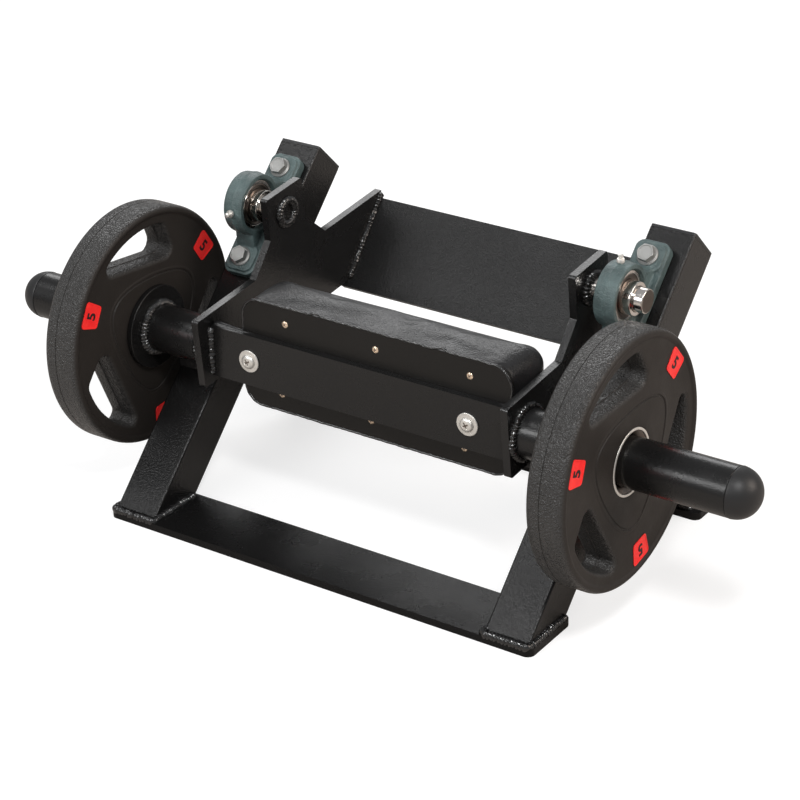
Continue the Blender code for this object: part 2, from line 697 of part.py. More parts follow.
def front_bar(bar):
    size = (2 * (ARM_INNER - GAP), BAR_THICKNESS, BAR_HEIGHT)
    body = bevel(block("front_bar", size, Matrix.Identity(4), bar), CUT_EDGE)
    for side, sign in SIDES:
        frame = shift(x=sign * PAD_BOLT_SPACING / 2) @ FORWARD
        length = BAR_THICKNESS + 2 * OVERRUN
        radius = PAD_BOLT_RADIUS + HOLE_PLAY
        combine(body, cylinder(f"bar_hole_{side}", radius, length, frame, bar), "DIFFERENCE")
    finish(body, BLACK_COAT)


def pad_fasteners(bar):
    """The bolts that hold the pad's board to the bar, with their washers and tee nuts."""
    face = BAR_THICKNESS / 2 + GAP
    head_seat = face + WASHER_THICKNESS + GAP
    board_back = face + BOARD_THICKNESS
    for side, sign in SIDES:
        axis = shift(x=sign * PAD_BOLT_SPACING / 2) @ FORWARD
        profile = [
            (0.0, head_seat + PAD_BOLT_HEAD),
            (PAD_BOLT_HEAD_TOP, head_seat + PAD_BOLT_HEAD),
            (PAD_BOLT_HEAD_RADIUS, head_seat + PAD_BOLT_HEAD_RIM),
            (PAD_BOLT_HEAD_RADIUS, head_seat),
            (PAD_BOLT_RADIUS, head_seat),
            (PAD_BOLT_RADIUS, -board_back + TEE_FLANGE),
            (0.0, -board_back + TEE_FLANGE),
        ]
        finish(turned(f"pad_bolt_{side}", profile, axis, bar, sides=18), ZINC)
        outlines = [circle(WASHER_RADIUS, 24), circle(PAD_BOLT_RADIUS + HOLE_PLAY, SIDES_SMALL)]
        washer_frame = axis @ shift(z=face + WASHER_THICKNESS / 2)
        finish(extrusion(f"pad_washer_{side}", outlines, WASHER_THICKNESS, washer_frame, bar), ZINC)
        bore = PAD_BOLT_RADIUS + GAP
        barrel = bore + NUT_WALL
        start = -face - GAP
        flange_top = -board_back + TEE_FLANGE + GAP
        profile = [
            (barrel, start),
            (barrel, flange_top),
            (TEE_FLANGE_RADIUS, flange_top),
            (TEE_FLANGE_RADIUS, -board_back + GAP),
            (bore, -board_back + GAP),
            (bore, start),
        ]
        finish(turned(f"pad_tee_nut_{side}", profile, axis, bar, sides=SIDES_SMALL, closed=True), ZINC)


def pad_board(bar):
    """The board behind the bar, with a stepped hole for each tee nut."""
    face = BAR_THICKNESS / 2 + GAP
    length = PAD_LENGTH - 2 * BOARD_INSET
    height = PAD_HEIGHT - 2 * BOARD_INSET
    outline = rectangle(length, height, PAD_CORNER - BOARD_INSET, steps=4)
    frame = shift(PAD_TO_RIGHT, face + BOARD_THICKNESS / 2, PAD_UP) @ FORWARD
    board = extrusion("pad_board", [outline], BOARD_THICKNESS, frame, bar)
    barrel = PAD_BOLT_RADIUS + NUT_WALL + 2 * GAP
    for side, sign in SIDES:
        axis = shift(x=sign * PAD_BOLT_SPACING / 2, y=face + BOARD_THICKNESS / 2) @ FORWARD
        length = BOARD_THICKNESS + 2 * OVERRUN
        combine(board, cylinder(f"board_hole_{side}", barrel, length, axis, bar), "DIFFERENCE")
        depth = 2 * (TEE_FLANGE + 2 * GAP)
        sunk = axis @ shift(z=-BOARD_THICKNESS / 2)
        radius = TEE_FLANGE_RADIUS + GAP
        combine(board, cylinder(f"board_sink_{side}", radius, depth, sunk, bar), "DIFFERENCE")
    finish(board, PLYWOOD)


def pad_cushion(bar):
    """The foam and its cover: rings of a coarse cage from the board's edge to the crown, subdivided."""

    def build(shape):
        loops = []
        for level, sides, ends in CUSHION_RINGS:
            radius = max(PAD_CORNER - max(sides, ends), CUSHION_CORNER)
            outline = rectangle(PAD_LENGTH - 2 * ends, PAD_HEIGHT - 2 * sides, radius, steps=3)
            loops.append([shape.verts.new((x, level, z)) for x, z in outline])
        for near, far in zip(loops, loops[1:]):
            for index, corner in enumerate(near):
                following = (index + 1) % len(near)
                shape.faces.new((corner, near[following], far[following], far[index]))
        front = shape.faces.new(loops[0])
        shape.faces.new(loops[-1])
        bmesh.ops.recalc_face_normals(shape, faces=shape.faces)
        crease = shape.edges.layers.float.new("crease_edge")
        for edge in front.edges:
            edge[crease] = 1.0

    start = BAR_THICKNESS / 2 + 2 * GAP + BOARD_THICKNESS
    frame = shift(PAD_TO_RIGHT, start, PAD_UP)
    cushion = place("pad_cushion", mesh_from("pad_cushion", build), frame, bar)
    smooth = cushion.modifiers.new("soft", "SUBSURF")
    smooth.levels = 1
    smooth.render_levels = 1
    finish(cushion, LEATHERETTE)


def load_tubes(swing):
    """On each side the tube for weight plates, its stop disc and its end cap."""
    for side, sign in SIDES:
        axis = shift(0.0, -LOAD_FORWARD, -LOAD_DOWN) @ outboard(sign)
        length = LOAD_END - ARM_OUTER - GAP
        outlines = [circle(LOAD_RADIUS, SIDES_TUBE), circle(LOAD_RADIUS - LOAD_WALL, SIDES_TUBE)]
        middle = axis @ shift(z=ARM_OUTER + GAP + length / 2)
        finish(extrusion(f"load_tube_{side}", outlines, length, middle, swing), BLACK_COAT)

        outlines = [circle(DISC_RADIUS, SIDES_TUBE), circle(LOAD_RADIUS + GAP, SIDES_TUBE)]
        middle = axis @ shift(z=DISC_OUTER_FACE - DISC_THICKNESS / 2)
        finish(extrusion(f"stop_disc_{side}", outlines, DISC_THICKNESS, middle, swing), BLACK_COAT)

        spigot = LOAD_RADIUS - LOAD_WALL - GAP
        turns = [math.radians(angle) for angle in (90, 66, 44, 22, 0)]
        dome = [(LOAD_RADIUS * math.cos(turn), TUBE_CAP_LENGTH * math.sin(turn)) for turn in turns]
        dome[0] = (0.0, TUBE_CAP_LENGTH)
        profile = dome + [(spigot, 0.0), (spigot, -TUBE_CAP_SPIGOT), (0.0, -TUBE_CAP_SPIGOT)]
        seam = axis @ shift(z=LOAD_END + GAP)
        finish(turned(f"tube_cap_{side}", profile, seam, swing, sides=SIDES_TUBE), RUBBER)


def rest_tabs(load):
    """The tabs on the arms that stop on the posts' front faces and hold the lever at rest."""
    sine, cosine = math.sin(POST_LEAN), math.cos(POST_LEAN)
    load_y, load_z = load.matrix_world.translation.yz
    over_post = (load_z - FLOOR_THICKNESS) * sine - (load_y - POST_Y) * cosine
    top = -TAB_TOP
    reach = (over_post + top * sine) / cosine
    for side, sign in SIDES:
        inner = ARM_OUTER + GAP
        corners = [
            (sign * inner, -TAB_FRONT),
            (sign * (TAB_OUTER_END - TAB_CHAMFER), -TAB_FRONT),
            (sign * TAB_OUTER_END, -TAB_FRONT + TAB_CHAMFER),
            (sign * TAB_OUTER_END, reach),
            (sign * inner, reach),
        ]
        middle = shift(z=top - TAB_THICKNESS / 2)
        tab = extrusion(f"rest_tab_{side}", [corners], TAB_THICKNESS, middle, load)
        lean = Matrix.Rotation(math.pi / 2 - POST_LEAN, 4, "X")
        behind = shift(sign * TAB_OUTER_END, reach - GAP / cosine, top) @ lean @ shift(z=-TUBE_SIDE / 2)
        size = (TAB_OUTER_END, 2 * TUBE_SIDE, TUBE_SIDE)
        combine(tab, block(f"tab_seat_{side}", size, behind, load), "DIFFERENCE")
        finish(tab, BLACK_COAT)


def slot_outline(facing, grow=0.0):
    """A grip slot: a straight side near the hub, an arc near the rim, a narrow and a wide end."""
    near, far = SLOT_NEAR - grow, SLOT_FAR + grow
    toe_turn = SLOT_TOE_ANGLE + grow / SLOT_FAR
    heel_turn = SLOT_HEEL_ANGLE + grow / SLOT_FAR
    steps = 4
    turns = [-heel_turn + (toe_turn + heel_turn) * step / steps for step in range(steps + 1)]
    arc = [(far * math.cos(turn), -far * math.sin(turn)) for turn in turns]
    corners = [(near, SLOT_HEEL + grow), *arc, (near, -SLOT_TOE - grow)]
    heel, toe = SLOT_CORNERS["heel"], SLOT_CORNERS["toe"]
    rounded = filleted(corners, [heel, heel, 0.0, 0.0, 0.0, toe, toe], steps=2)
    sine, cosine = math.sin(facing), math.cos(facing)
    return [(out * cosine + along * sine, out * sine - along * cosine) for out, along in rounded]


def weight_plate(side, sign, load):
    """A rubber plate moulded round an iron core, with three grip slots and a steel ring in its bore."""
    frame = empty(f"weight_plate_frame_{side}", shift(x=sign * PLATE_X, z=-PLATE_SAG), load)
    turn = Matrix.Rotation(PLATE_TURN[side], 4, "X")
    facings = [SLOT_FACING + 2 * math.pi * number / SLOT_COUNT for number in range(SLOT_COUNT)]
    half, web = PLATE_WIDTH / 2, PLATE_WEB_WIDTH / 2
    seat = STEEL_RING_RADIUS + GAP
    hub_step = PLATE_HUB_RADIUS - (half - web)
    upper = [(seat, half), (hub_step, half), (PLATE_HUB_RADIUS, web), (PLATE_RIM_FLAT, web)]
    upper += [(PLATE_RIM_RADIUS, PLATE_RIM_WIDTH / 2), (PLATE_SHOULDER_RADIUS, PLATE_SHOULDER_WIDTH / 2)]
    upper += [(PLATE_RADIUS, PLATE_TREAD_WIDTH / 2)]
    profile = upper + [(radius, -height) for radius, height in reversed(upper)]
    lathe = outboard(1)
    body = turned(f"weight_plate_{side}", profile, turn @ lathe, frame, sides=SIDES_PLATE, closed=True)
    for number, facing in enumerate(facings):
        name = f"grip_slot_{side}_{number}"
        length = PLATE_RIM_WIDTH + 2 * OVERRUN
        cutter = extrusion(name, [slot_outline(facing)], length, turn @ ALONG_X, frame)
        combine(body, cutter, "DIFFERENCE")
    around = [slot_outline(facing, CORE_COVER - GAP) for facing in facings]
    hollow = [circle(CORE_RADIUS + GAP, SIDES_PLATE), *around]
    thickness = CORE_THICKNESS + 2 * GAP
    cavity = extrusion(f"core_cavity_{side}", hollow, thickness, turn @ ALONG_X, frame)
    finish(combine(body, cavity, "DIFFERENCE"), RUBBER)

    around = [slot_outline(facing, CORE_COVER) for facing in facings]
    outlines = [circle(CORE_RADIUS, SIDES_PLATE), circle(seat, SIDES_TUBE), *around]
    core = extrusion(f"plate_core_{side}", outlines, CORE_THICKNESS, turn @ ALONG_X, frame)
    finish(core, IRON)

    mouth = half - STEEL_RING_CHAMFER
    face = STEEL_RING_RADIUS - STEEL_RING_FACE
    profile = [
        (STEEL_RING_RADIUS, half),
        (STEEL_RING_RADIUS, -half),
        (face, -half),
        (BORE_RADIUS, -mouth),
        (BORE_RADIUS, mouth),
        (face, half),
    ]
    name = f"plate_ring_{side}"
    finish(turned(name, profile, lathe, frame, sides=SIDES_TUBE, closed=True), STEEL)


def lever():
    """Everything that swings on the stub shafts, with the weight plates on its load tubes."""
    at_pivot = shift(y=PIVOT_Y, z=PIVOT_Z)
    swing = empty("swing_axis", at_pivot @ Matrix.Rotation(REST_TILT, 4, "X"))
    level = Matrix.Rotation(-REST_TILT, 4, "X")
    load = empty("load_axis", shift(y=-LOAD_FORWARD, z=-LOAD_DOWN) @ level, swing)
    bar = empty("bar_frame", shift(y=-BAR_FORWARD, z=-BAR_DOWN), load)
    bpy.context.view_layer.update()
    arms(swing)
    rear_plate(swing)
    load_tubes(swing)
    rest_tabs(load)
    front_bar(bar)
    pad_fasteners(bar)
    pad_board(bar)
    pad_cushion(bar)
    for side, sign in SIDES:
        inner_ring(side, swing)
        weight_plate(side, sign, load)


clear_scene()
PARTS = new_collection("tibialis_trainer")
CUTTERS = new_collection("cutters")
stand()
lever()
for SIDE, SIGN in SIDES:
    ball_cage(SIDE, SIGN)
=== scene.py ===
# %% [markdown]
# # A tibialis trainer
#
# The object is a floor stand that trains the shins. Two square posts lean back from a floor plate, and
# between them a lever hangs on two short shafts in pillow blocks. The lever has a padded bar for the
# insteps, a plate for the heels and a tube on each side for weight plates.
#
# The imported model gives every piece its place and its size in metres. This lesson builds the looks round
# it: rounded edges, castings, weld beads, moulded rubber and leatherette. A helper is defined where it is
# first needed, so the cells run from top to bottom.

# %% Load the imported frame
import json
import math
import random

import bmesh
import bpy
from mathutils import Matrix, Vector, geometry, noise

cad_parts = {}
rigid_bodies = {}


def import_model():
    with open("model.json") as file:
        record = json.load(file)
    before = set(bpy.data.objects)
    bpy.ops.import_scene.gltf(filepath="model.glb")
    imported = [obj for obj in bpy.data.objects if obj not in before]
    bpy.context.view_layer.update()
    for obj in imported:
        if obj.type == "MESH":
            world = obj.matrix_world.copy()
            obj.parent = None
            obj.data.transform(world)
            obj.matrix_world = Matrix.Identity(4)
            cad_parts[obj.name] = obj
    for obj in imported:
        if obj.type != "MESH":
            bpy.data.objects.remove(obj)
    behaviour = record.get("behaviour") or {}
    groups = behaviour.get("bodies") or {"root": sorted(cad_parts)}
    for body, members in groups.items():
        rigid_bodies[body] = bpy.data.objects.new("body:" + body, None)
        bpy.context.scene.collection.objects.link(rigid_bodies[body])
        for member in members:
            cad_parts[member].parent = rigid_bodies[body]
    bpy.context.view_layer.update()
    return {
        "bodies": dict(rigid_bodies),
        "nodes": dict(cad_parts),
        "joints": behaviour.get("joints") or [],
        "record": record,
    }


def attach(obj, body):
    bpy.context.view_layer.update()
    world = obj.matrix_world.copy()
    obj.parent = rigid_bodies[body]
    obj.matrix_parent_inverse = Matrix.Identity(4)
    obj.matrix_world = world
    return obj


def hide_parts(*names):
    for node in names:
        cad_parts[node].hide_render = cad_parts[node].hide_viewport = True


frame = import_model()

# %% [markdown]
# ## The camera
#
# The photograph was taken from the front right, about 27 degrees above the floor, with a long lens. A long
# lens far away keeps parallel edges nearly parallel, which is why the angles below matter more than the
# distance. The camera's axes are worked out from the azimuth, the elevation and a small roll, instead of
# with a tracking constraint, so the roll can be given too.

# %% Camera
AZIMUTH = math.radians(34.832)
ELEVATION = math.radians(26.673)
ROLL = math.radians(-1.286)
DISTANCE = 2.53456
TARGET = Vector((0.001429, 0.12372, 0.13418))
LENS = 113.345

backward = Vector(
    (
        math.sin(AZIMUTH) * math.cos(ELEVATION),
        -math.cos(AZIMUTH) * math.cos(ELEVATION),
        math.sin(ELEVATION),
    )
)
level_right = Vector((math.cos(AZIMUTH), math.sin(AZIMUTH), 0.0))
level_up = backward.cross(level_right)
right = level_right * math.cos(ROLL) + level_up * math.sin(ROLL)
up = level_up * math.cos(ROLL) - level_right * math.sin(ROLL)
axes = Matrix((right, up, backward)).transposed().to_4x4()
lens = bpy.data.cameras.new("portrait_lens")
lens.lens = LENS
lens.sensor_width = 36.0
camera = bpy.data.objects.new("portrait_camera", lens)
camera.matrix_world = Matrix.Translation(TARGET + backward * DISTANCE) @ axes
bpy.context.scene.collection.objects.link(camera)
bpy.context.scene.camera = camera
bpy.context.scene.view_settings.view_transform = "Standard"
print("camera at", [round(value, 3) for value in camera.location])

# %% [markdown]
# ## The studio
#
# The object is black, so what it reflects is most of what can be seen of it. It stands on a pale floor in
# an even pale room, with one wide soft lamp in front and a strip behind, which draws the bright lines along
# the upper edges. Two small lamps above light the tops and the front corners of the posts, and a warm one
# on the right fills their sides. The floor and the room look white to the camera through the Light Path
# node, and are dimmer than that to the object, so that black stays black.


# %% Light and floor
def node(tree, kind, **settings):
    made = tree.nodes.new(kind)
    for key, value in settings.items():
        setattr(made, key, value)
    return made


def seen_rays(tree):
    """1 for rays that show the background: straight from the camera, or through something clear."""
    path = node(tree, "ShaderNodeLightPath")
    seen = node(tree, "ShaderNodeMath", operation="MAXIMUM")
    tree.links.new(path.outputs["Is Camera Ray"], seen.inputs[0])
    tree.links.new(path.outputs["Is Transmission Ray"], seen.inputs[1])
    return seen.outputs[0]


def coloured(tree, kind, colour, strength=None):
    made = node(tree, kind)
    made.inputs["Color"].default_value = (*colour, 1.0)
    if strength is not None:
        made.inputs["Strength"].default_value = strength
    return made.outputs[0]


def split_by_ray(tree, lighting, shown, output_kind):
    """Shows one shader to the camera, and lights the object with the other one."""
    mix = node(tree, "ShaderNodeMixShader")
    output = node(tree, output_kind)
    tree.links.new(seen_rays(tree), mix.inputs[0])
    tree.links.new(lighting, mix.inputs[1])
    tree.links.new(shown, mix.inputs[2])
    tree.links.new(mix.outputs[0], output.inputs[0])


def empty_tree(owner):
    owner.use_nodes = True
    owner.node_tree.nodes.clear()
    return owner.node_tree


def white_room():
    world = bpy.data.worlds.new("white_room")
    tree = empty_tree(world)
    lighting = coloured(tree, "ShaderNodeBackground", (0.97, 0.98, 1.0), 0.42)
    shown = coloured(tree, "ShaderNodeBackground", (1.0, 1.0, 1.0), 1.0)
    split_by_ray(tree, lighting, shown, "ShaderNodeOutputWorld")
    bpy.context.scene.world = world


def pale_floor():
    material = bpy.data.materials.new("pale_floor")
    tree = empty_tree(material)
    bounce = coloured(tree, "ShaderNodeBsdfDiffuse", (0.50, 0.46, 0.425))
    lit = node(tree, "ShaderNodeAddShader")
    tree.links.new(coloured(tree, "ShaderNodeBsdfDiffuse", (0.42, 0.42, 0.42)), lit.inputs[0])
    tree.links.new(coloured(tree, "ShaderNodeEmission", (1.0, 1.0, 1.0), 0.66), lit.inputs[1])
    split_by_ray(tree, bounce, lit.outputs[0], "ShaderNodeOutputMaterial")
    corners = [(x * FLOOR_REACH, y * FLOOR_REACH, 0) for x, y in ((-1, -1), (1, -1), (1, 1), (-1, 1))]
    mesh = bpy.data.meshes.new("floor")
    mesh.from_pydata(corners, [], [(0, 1, 2, 3)])
    mesh.materials.append(material)
    floor = bpy.data.objects.new("floor", mesh)
    bpy.context.scene.collection.objects.link(floor)


def soft_lamp(name, place, size, power, colour):
    light = bpy.data.lights.new(name, "AREA")
    light.shape = "RECTANGLE"
    light.size, light.size_y = size
    light.energy = power
    light.color = colour
    lamp = bpy.data.objects.new(name, light)
    facing = (Vector(place) - AIM).to_track_quat("Z", "Y")
    lamp.matrix_world = Matrix.Translation(place) @ facing.to_matrix().to_4x4()
    lamp.visible_camera = False
    bpy.context.scene.collection.objects.link(lamp)


FLOOR_REACH = 30.0
AIM = Vector((0.0, 0.12, 0.15))
NEUTRAL, WARM = (1.0, 1.0, 1.0), (1.0, 0.87, 0.77)
# Name, place, width and height, power in watts, colour
LAMPS = (
    ("front_softbox", (-0.75, -1.75, 1.30), (1.2, 0.6), 19.0, NEUTRAL),
    ("upper_left_lamp", (-1.24, -0.68, 1.94), (0.5, 0.5), 7.5, NEUTRAL),
    ("upper_right_lamp", (1.05, -0.95, 1.90), (0.35, 0.35), 24.0, NEUTRAL),
    ("rear_strip", (-1.2, 1.80, 1.40), (1.8, 0.9), 17.0, NEUTRAL),
    ("side_fill", (2.0, 0.7, 1.2), (1.0, 1.0), 21.0, WARM),
)
white_room()
pale_floor()
for lamp in LAMPS:
    soft_lamp(*lamp)

# %% [markdown]
# ## Shared effects
#
# A finish is a colour, a gloss and a surface that isn't quite even. The uneven part is shared by many
# finishes, so each effect is a shader node group with named inputs: a fine grain for coatings, a pebbled
# grain for moulded rubber and leatherette, and slow smudges that change the gloss over a hand's width. They
# are all measured in metres, because every piece is modelled in metres with its origin at the origin of the
# room.


# %% Node groups for grain, pebbles and smudges
def effect_group(name, inputs, outputs):
    group = bpy.data.node_groups.new(name, "ShaderNodeTree")
    group.interface.new_socket("Position", in_out="INPUT", socket_type="NodeSocketVector")
    for label, value in inputs.items():
        socket = group.interface.new_socket(label, in_out="INPUT", socket_type="NodeSocketFloat")
        socket.default_value = value
    for label in outputs:
        group.interface.new_socket(label, in_out="OUTPUT", socket_type="NodeSocketFloat")
    return group, node(group, "NodeGroupInput"), node(group, "NodeGroupOutput")


def calculate(tree, operation, first, second=None, third=None, clamp=False):
    step = node(tree, "ShaderNodeMath", operation=operation, use_clamp=clamp)
    for slot, value in enumerate((first, second, third)):
        if value is None:
            continue
        if isinstance(value, (int, float)):
            step.inputs[slot].default_value = value
        else:
            tree.links.new(value, step.inputs[slot])
    return step.outputs[0]


def noise_at(tree, position, size, detail, roughness=0.55):
    """Noise whose lumps are about as wide as size."""
    texture = node(tree, "ShaderNodeTexNoise")
    texture.inputs["Detail"].default_value = detail
    texture.inputs["Roughness"].default_value = roughness
    tree.links.new(position, texture.inputs["Vector"])
    tree.links.new(calculate(tree, "DIVIDE", 1.0, size), texture.inputs["Scale"])
    return texture.outputs["Fac"]


def make_fine_grain():
    group, given, result = effect_group("Fine grain", {"Size": 0.0014, "Depth": 1.0}, ["Height"])
    coarse = noise_at(group, given.outputs["Position"], given.outputs["Size"], 2.0)
    half = calculate(group, "MULTIPLY", given.outputs["Size"], 0.45)
    fine = noise_at(group, given.outputs["Position"], half, 1.0)
    both = calculate(group, "ADD", coarse, fine)
    height = calculate(group, "MULTIPLY", both, given.outputs["Depth"])
    group.links.new(height, result.inputs["Height"])
    return group


def make_pebbles():
    group, given, result = effect_group("Pebbled grain", {"Size": 0.0016, "Depth": 1.0}, ["Height"])
    cells = node(group, "ShaderNodeTexVoronoi", feature="SMOOTH_F1")
    cells.inputs["Smoothness"].default_value = 0.6
    group.links.new(given.outputs["Position"], cells.inputs["Vector"])
    scale = calculate(group, "DIVIDE", 1.0, given.outputs["Size"])
    group.links.new(scale, cells.inputs["Scale"])
    rise = calculate(group, "SUBTRACT", 1.0, cells.outputs["Distance"])
    wide = calculate(group, "MULTIPLY", given.outputs["Size"], 3.0)
    swell = noise_at(group, given.outputs["Position"], wide, 3.0)
    both = calculate(group, "MULTIPLY", rise, swell)
    height = calculate(group, "MULTIPLY", both, given.outputs["Depth"])
    group.links.new(height, result.inputs["Height"])
    return group


def make_smudges():
    group, given, result = effect_group("Smudges", {"Size": 0.06, "Low": 0.3, "High": 0.5}, ["Value"])
    patches = noise_at(group, given.outputs["Position"], given.outputs["Size"], 4.0, 0.6)
    spread = node(group, "ShaderNodeMapRange")
    spread.inputs["From Min"].default_value = 0.35
    spread.inputs["From Max"].default_value = 0.65
    group.links.new(patches, spread.inputs["Value"])
    group.links.new(given.outputs["Low"], spread.inputs["To Min"])
    group.links.new(given.outputs["High"], spread.inputs["To Max"])
    group.links.new(spread.outputs["Result"], result.inputs["Value"])
    return group


FINE_GRAIN = make_fine_grain()
PEBBLES = make_pebbles()
SMUDGES = make_smudges()
print("effects:", [group.name for group in bpy.data.node_groups])

# %% [markdown]
# ## Finishes
#
# The steel is powder coated: black, with a fine grain that sparkles where a lamp is mirrored in it. The
# castings have grey-green paint over rough iron. Bolts are zinc plated, shafts and bearing rings are ground
# steel, the weight plates and end caps are rubber and the pad is leatherette. Each finish is a Principled
# shader whose plain values are set on its own sockets, and the effects feed its roughness and its bump.


# %% Helpers for finishes, and the powder coats
def new_finish(name, colour, metallic=0.0, specular=0.5):
    material = bpy.data.materials.new(name)
    material.use_nodes = True
    tree = material.node_tree
    shader = tree.nodes["Principled BSDF"]
    shader.inputs["Base Color"].default_value = (*colour, 1.0)
    shader.inputs["Metallic"].default_value = metallic
    shader.inputs["Specular IOR Level"].default_value = specular
    position = node(tree, "ShaderNodeTexCoord").outputs["Object"]
    return material, tree, shader, position


def effect(tree, group, position, output, **values):
    placed = node(tree, "ShaderNodeGroup", node_tree=group)
    tree.links.new(position, placed.inputs["Position"])
    for label, value in values.items():
        if isinstance(value, (int, float)):
            placed.inputs[label].default_value = value
        else:
            tree.links.new(value, placed.inputs[label])
    return placed.outputs[output]


def add_gloss(tree, shader, position, gloss, patch):
    """A roughness that drifts between two values, in patches of a size."""
    roughness = effect(tree, SMUDGES, position, "Value", Size=patch, Low=gloss[0], High=gloss[1])
    tree.links.new(roughness, shader.inputs["Roughness"])


def add_tones(tree, shader, share, low, high):
    tone = node(tree, "ShaderNodeMix", data_type="RGBA")
    tone.inputs["A"].default_value = (*low, 1.0)
    tone.inputs["B"].default_value = (*high, 1.0)
    tree.links.new(share, tone.inputs["Factor"])
    tree.links.new(tone.outputs["Result"], shader.inputs["Base Color"])


def add_bump(tree, shader, height, distance):
    bump = node(tree, "ShaderNodeBump")
    bump.inputs["Distance"].default_value = distance
    tree.links.new(height, bump.inputs["Height"])
    tree.links.new(bump.outputs["Normal"], shader.inputs["Normal"])


def add_grain(tree, shader, position, grain, depth):
    add_bump(tree, shader, effect(tree, FINE_GRAIN, position, "Height", Size=grain, Depth=1.0), depth)


def plain_finish(name, colour, gloss, patch, grain, depth, metallic=0.0, specular=0.5):
    """One colour, with a gloss that drifts in patches and a fine grain."""
    material, tree, shader, position = new_finish(name, colour, metallic, specular)
    add_gloss(tree, shader, position, gloss, patch)
    add_grain(tree, shader, position, grain, depth)
    return material


def powder_coat(name, gloss, depth, specular, grain=0.0030):
    return plain_finish(name, (0.0068, 0.0066, 0.0066), gloss, 0.05, grain, depth, specular=specular)


COAT = powder_coat("black_powder_coat", (0.20, 0.28), 0.00028, 0.32, grain=0.0024)
FLOOR_COAT = powder_coat("floor_plate_coat", (0.22, 0.30), 0.00020, 0.15)
SPARKLING_COAT = powder_coat("sparkling_powder_coat", (0.28, 0.38), 0.00055, 0.34)
ARM_COAT = powder_coat("arm_powder_coat", (0.22, 0.32), 0.00016, 0.46)
SMOOTH_COAT = powder_coat("smooth_powder_coat", (0.22, 0.32), 0.00012, 0.40)
WELD_COAT = powder_coat("weld_powder_coat", (0.10, 0.18), 0.00030, 0.8)
COATS = (COAT, FLOOR_COAT, SPARKLING_COAT, ARM_COAT, SMOOTH_COAT, WELD_COAT)
print("coats:", [coat.name for coat in COATS])


# %% Paint on castings, zinc, steel and brass
def casting_paint():
    material, tree, shader, position = new_finish("grey_green_paint", GREY_GREEN, specular=0.4)
    patches = effect(tree, SMUDGES, position, "Value", Size=0.022, Low=0.0, High=1.0)
    add_tones(tree, shader, patches, (0.046, 0.068, 0.068), (0.098, 0.140, 0.140))
    add_gloss(tree, shader, position, (0.32, 0.52), 0.012)
    add_grain(tree, shader, position, 0.0030, 0.0007)
    return material


def bright_metal(name, colour, gloss, grain, depth, metallic=1.0):
    return plain_finish(name, colour, gloss, 0.010, grain, depth, metallic)


GREY_GREEN = (0.070, 0.102, 0.102)
CASTING = casting_paint()
ZINC = bright_metal("zinc_plating", (0.76, 0.74, 0.70), (0.32, 0.46), 0.0015, 0.00012, 0.75)
DULL_ZINC = bright_metal("dull_zinc", (0.34, 0.34, 0.33), (0.44, 0.56), 0.0015, 0.00014, 0.8)
SAWN_STEEL = bright_metal("sawn_steel", (0.10, 0.082, 0.070), (0.34, 0.48), 0.0010, 0.00008)
STEEL = bright_metal("ground_steel", (0.72, 0.68, 0.64), (0.12, 0.20), 0.0040, 0.00006)
# Its colour also darkens the crosses put down in screw recesses, as painted shade.
PRESSED_STEEL_AND_SHADE = bright_metal("pressed_steel_and_recess_shade", (0.20, 0.17, 0.15), (0.28, 0.42), 0.0040, 0.00020)
BRASS = bright_metal("brass", (0.90, 0.70, 0.52), (0.20, 0.34), 0.0015, 0.00010, 0.75)
print("metals:", [metal.name for metal in (ZINC, DULL_ZINC, STEEL, SAWN_STEEL, PRESSED_STEEL_AND_SHADE, BRASS)])


# %% Rubber, label paint and plastic
def moulded_rubber():
    """The mesh says where the rubber is grainy: 1 on the tread, near 0 on the flat faces."""
    material, tree, shader, position = new_finish("moulded_rubber", (0.017, 0.015, 0.014), specular=0.27)
    where = node(tree, "ShaderNodeAttribute", attribute_name="grain").outputs["Fac"]
    add_tones(tree, shader, where, (0.0185, 0.0155, 0.0135), (0.042, 0.041, 0.040))
    spread = effect(tree, SMUDGES, position, "Value", Size=0.045, Low=0.50, High=0.62)
    glossier = calculate(tree, "MULTIPLY", where, 0.28)
    tree.links.new(calculate(tree, "SUBTRACT", spread, glossier), shader.inputs["Roughness"])
    depth = calculate(tree, "MULTIPLY_ADD", where, 0.96, 0.04)
    add_bump(tree, shader, effect(tree, PEBBLES, position, "Height", Size=0.0018, Depth=depth), 0.0030)
    return material


def label_paint():
    material, tree, shader, position = new_finish("label_red", (0.95, 0.024, 0.024), specular=0.4)
    patches = effect(tree, SMUDGES, position, "Value", Size=0.012, Low=0.0, High=1.0)
    add_tones(tree, shader, patches, (0.92, 0.020, 0.022), (1.00, 0.036, 0.030))
    add_gloss(tree, shader, position, (0.35, 0.50), 0.008)
    add_grain(tree, shader, position, 0.0016, 0.00015)
    return material


def plain_rubber(name, colour, gloss, specular=0.35):
    return plain_finish(name, colour, gloss, 0.03, 0.0009, 0.00006, specular=specular)


RUBBER = moulded_rubber()
CAP_RUBBER = plain_rubber("cap_rubber", (0.017, 0.017, 0.0175), (0.36, 0.44))
PLASTIC = plain_rubber("cap_plastic", (0.016, 0.016, 0.017), (0.30, 0.40))
LABEL_RED = label_paint()
LABEL_BLACK = plain_rubber("label_black", (0.02, 0.012, 0.012), (0.5, 0.6))
print("rubber:", RUBBER.name, CAP_RUBBER.name, LABEL_RED.name)


# %% Leatherette and the pad's board
def leatherette():
    black = (0.0105, 0.0105, 0.0112)
    material, tree, shader, position = new_finish("black_leatherette", black, specular=0.42)
    add_gloss(tree, shader, position, (0.30, 0.44), 0.07)
    cells = effect(tree, PEBBLES, position, "Height", Size=0.0015, Depth=1.0)
    creases = effect(tree, FINE_GRAIN, position, "Height", Size=0.030, Depth=0.9)
    add_bump(tree, shader, calculate(tree, "ADD", cells, creases), 0.00060)
    return material


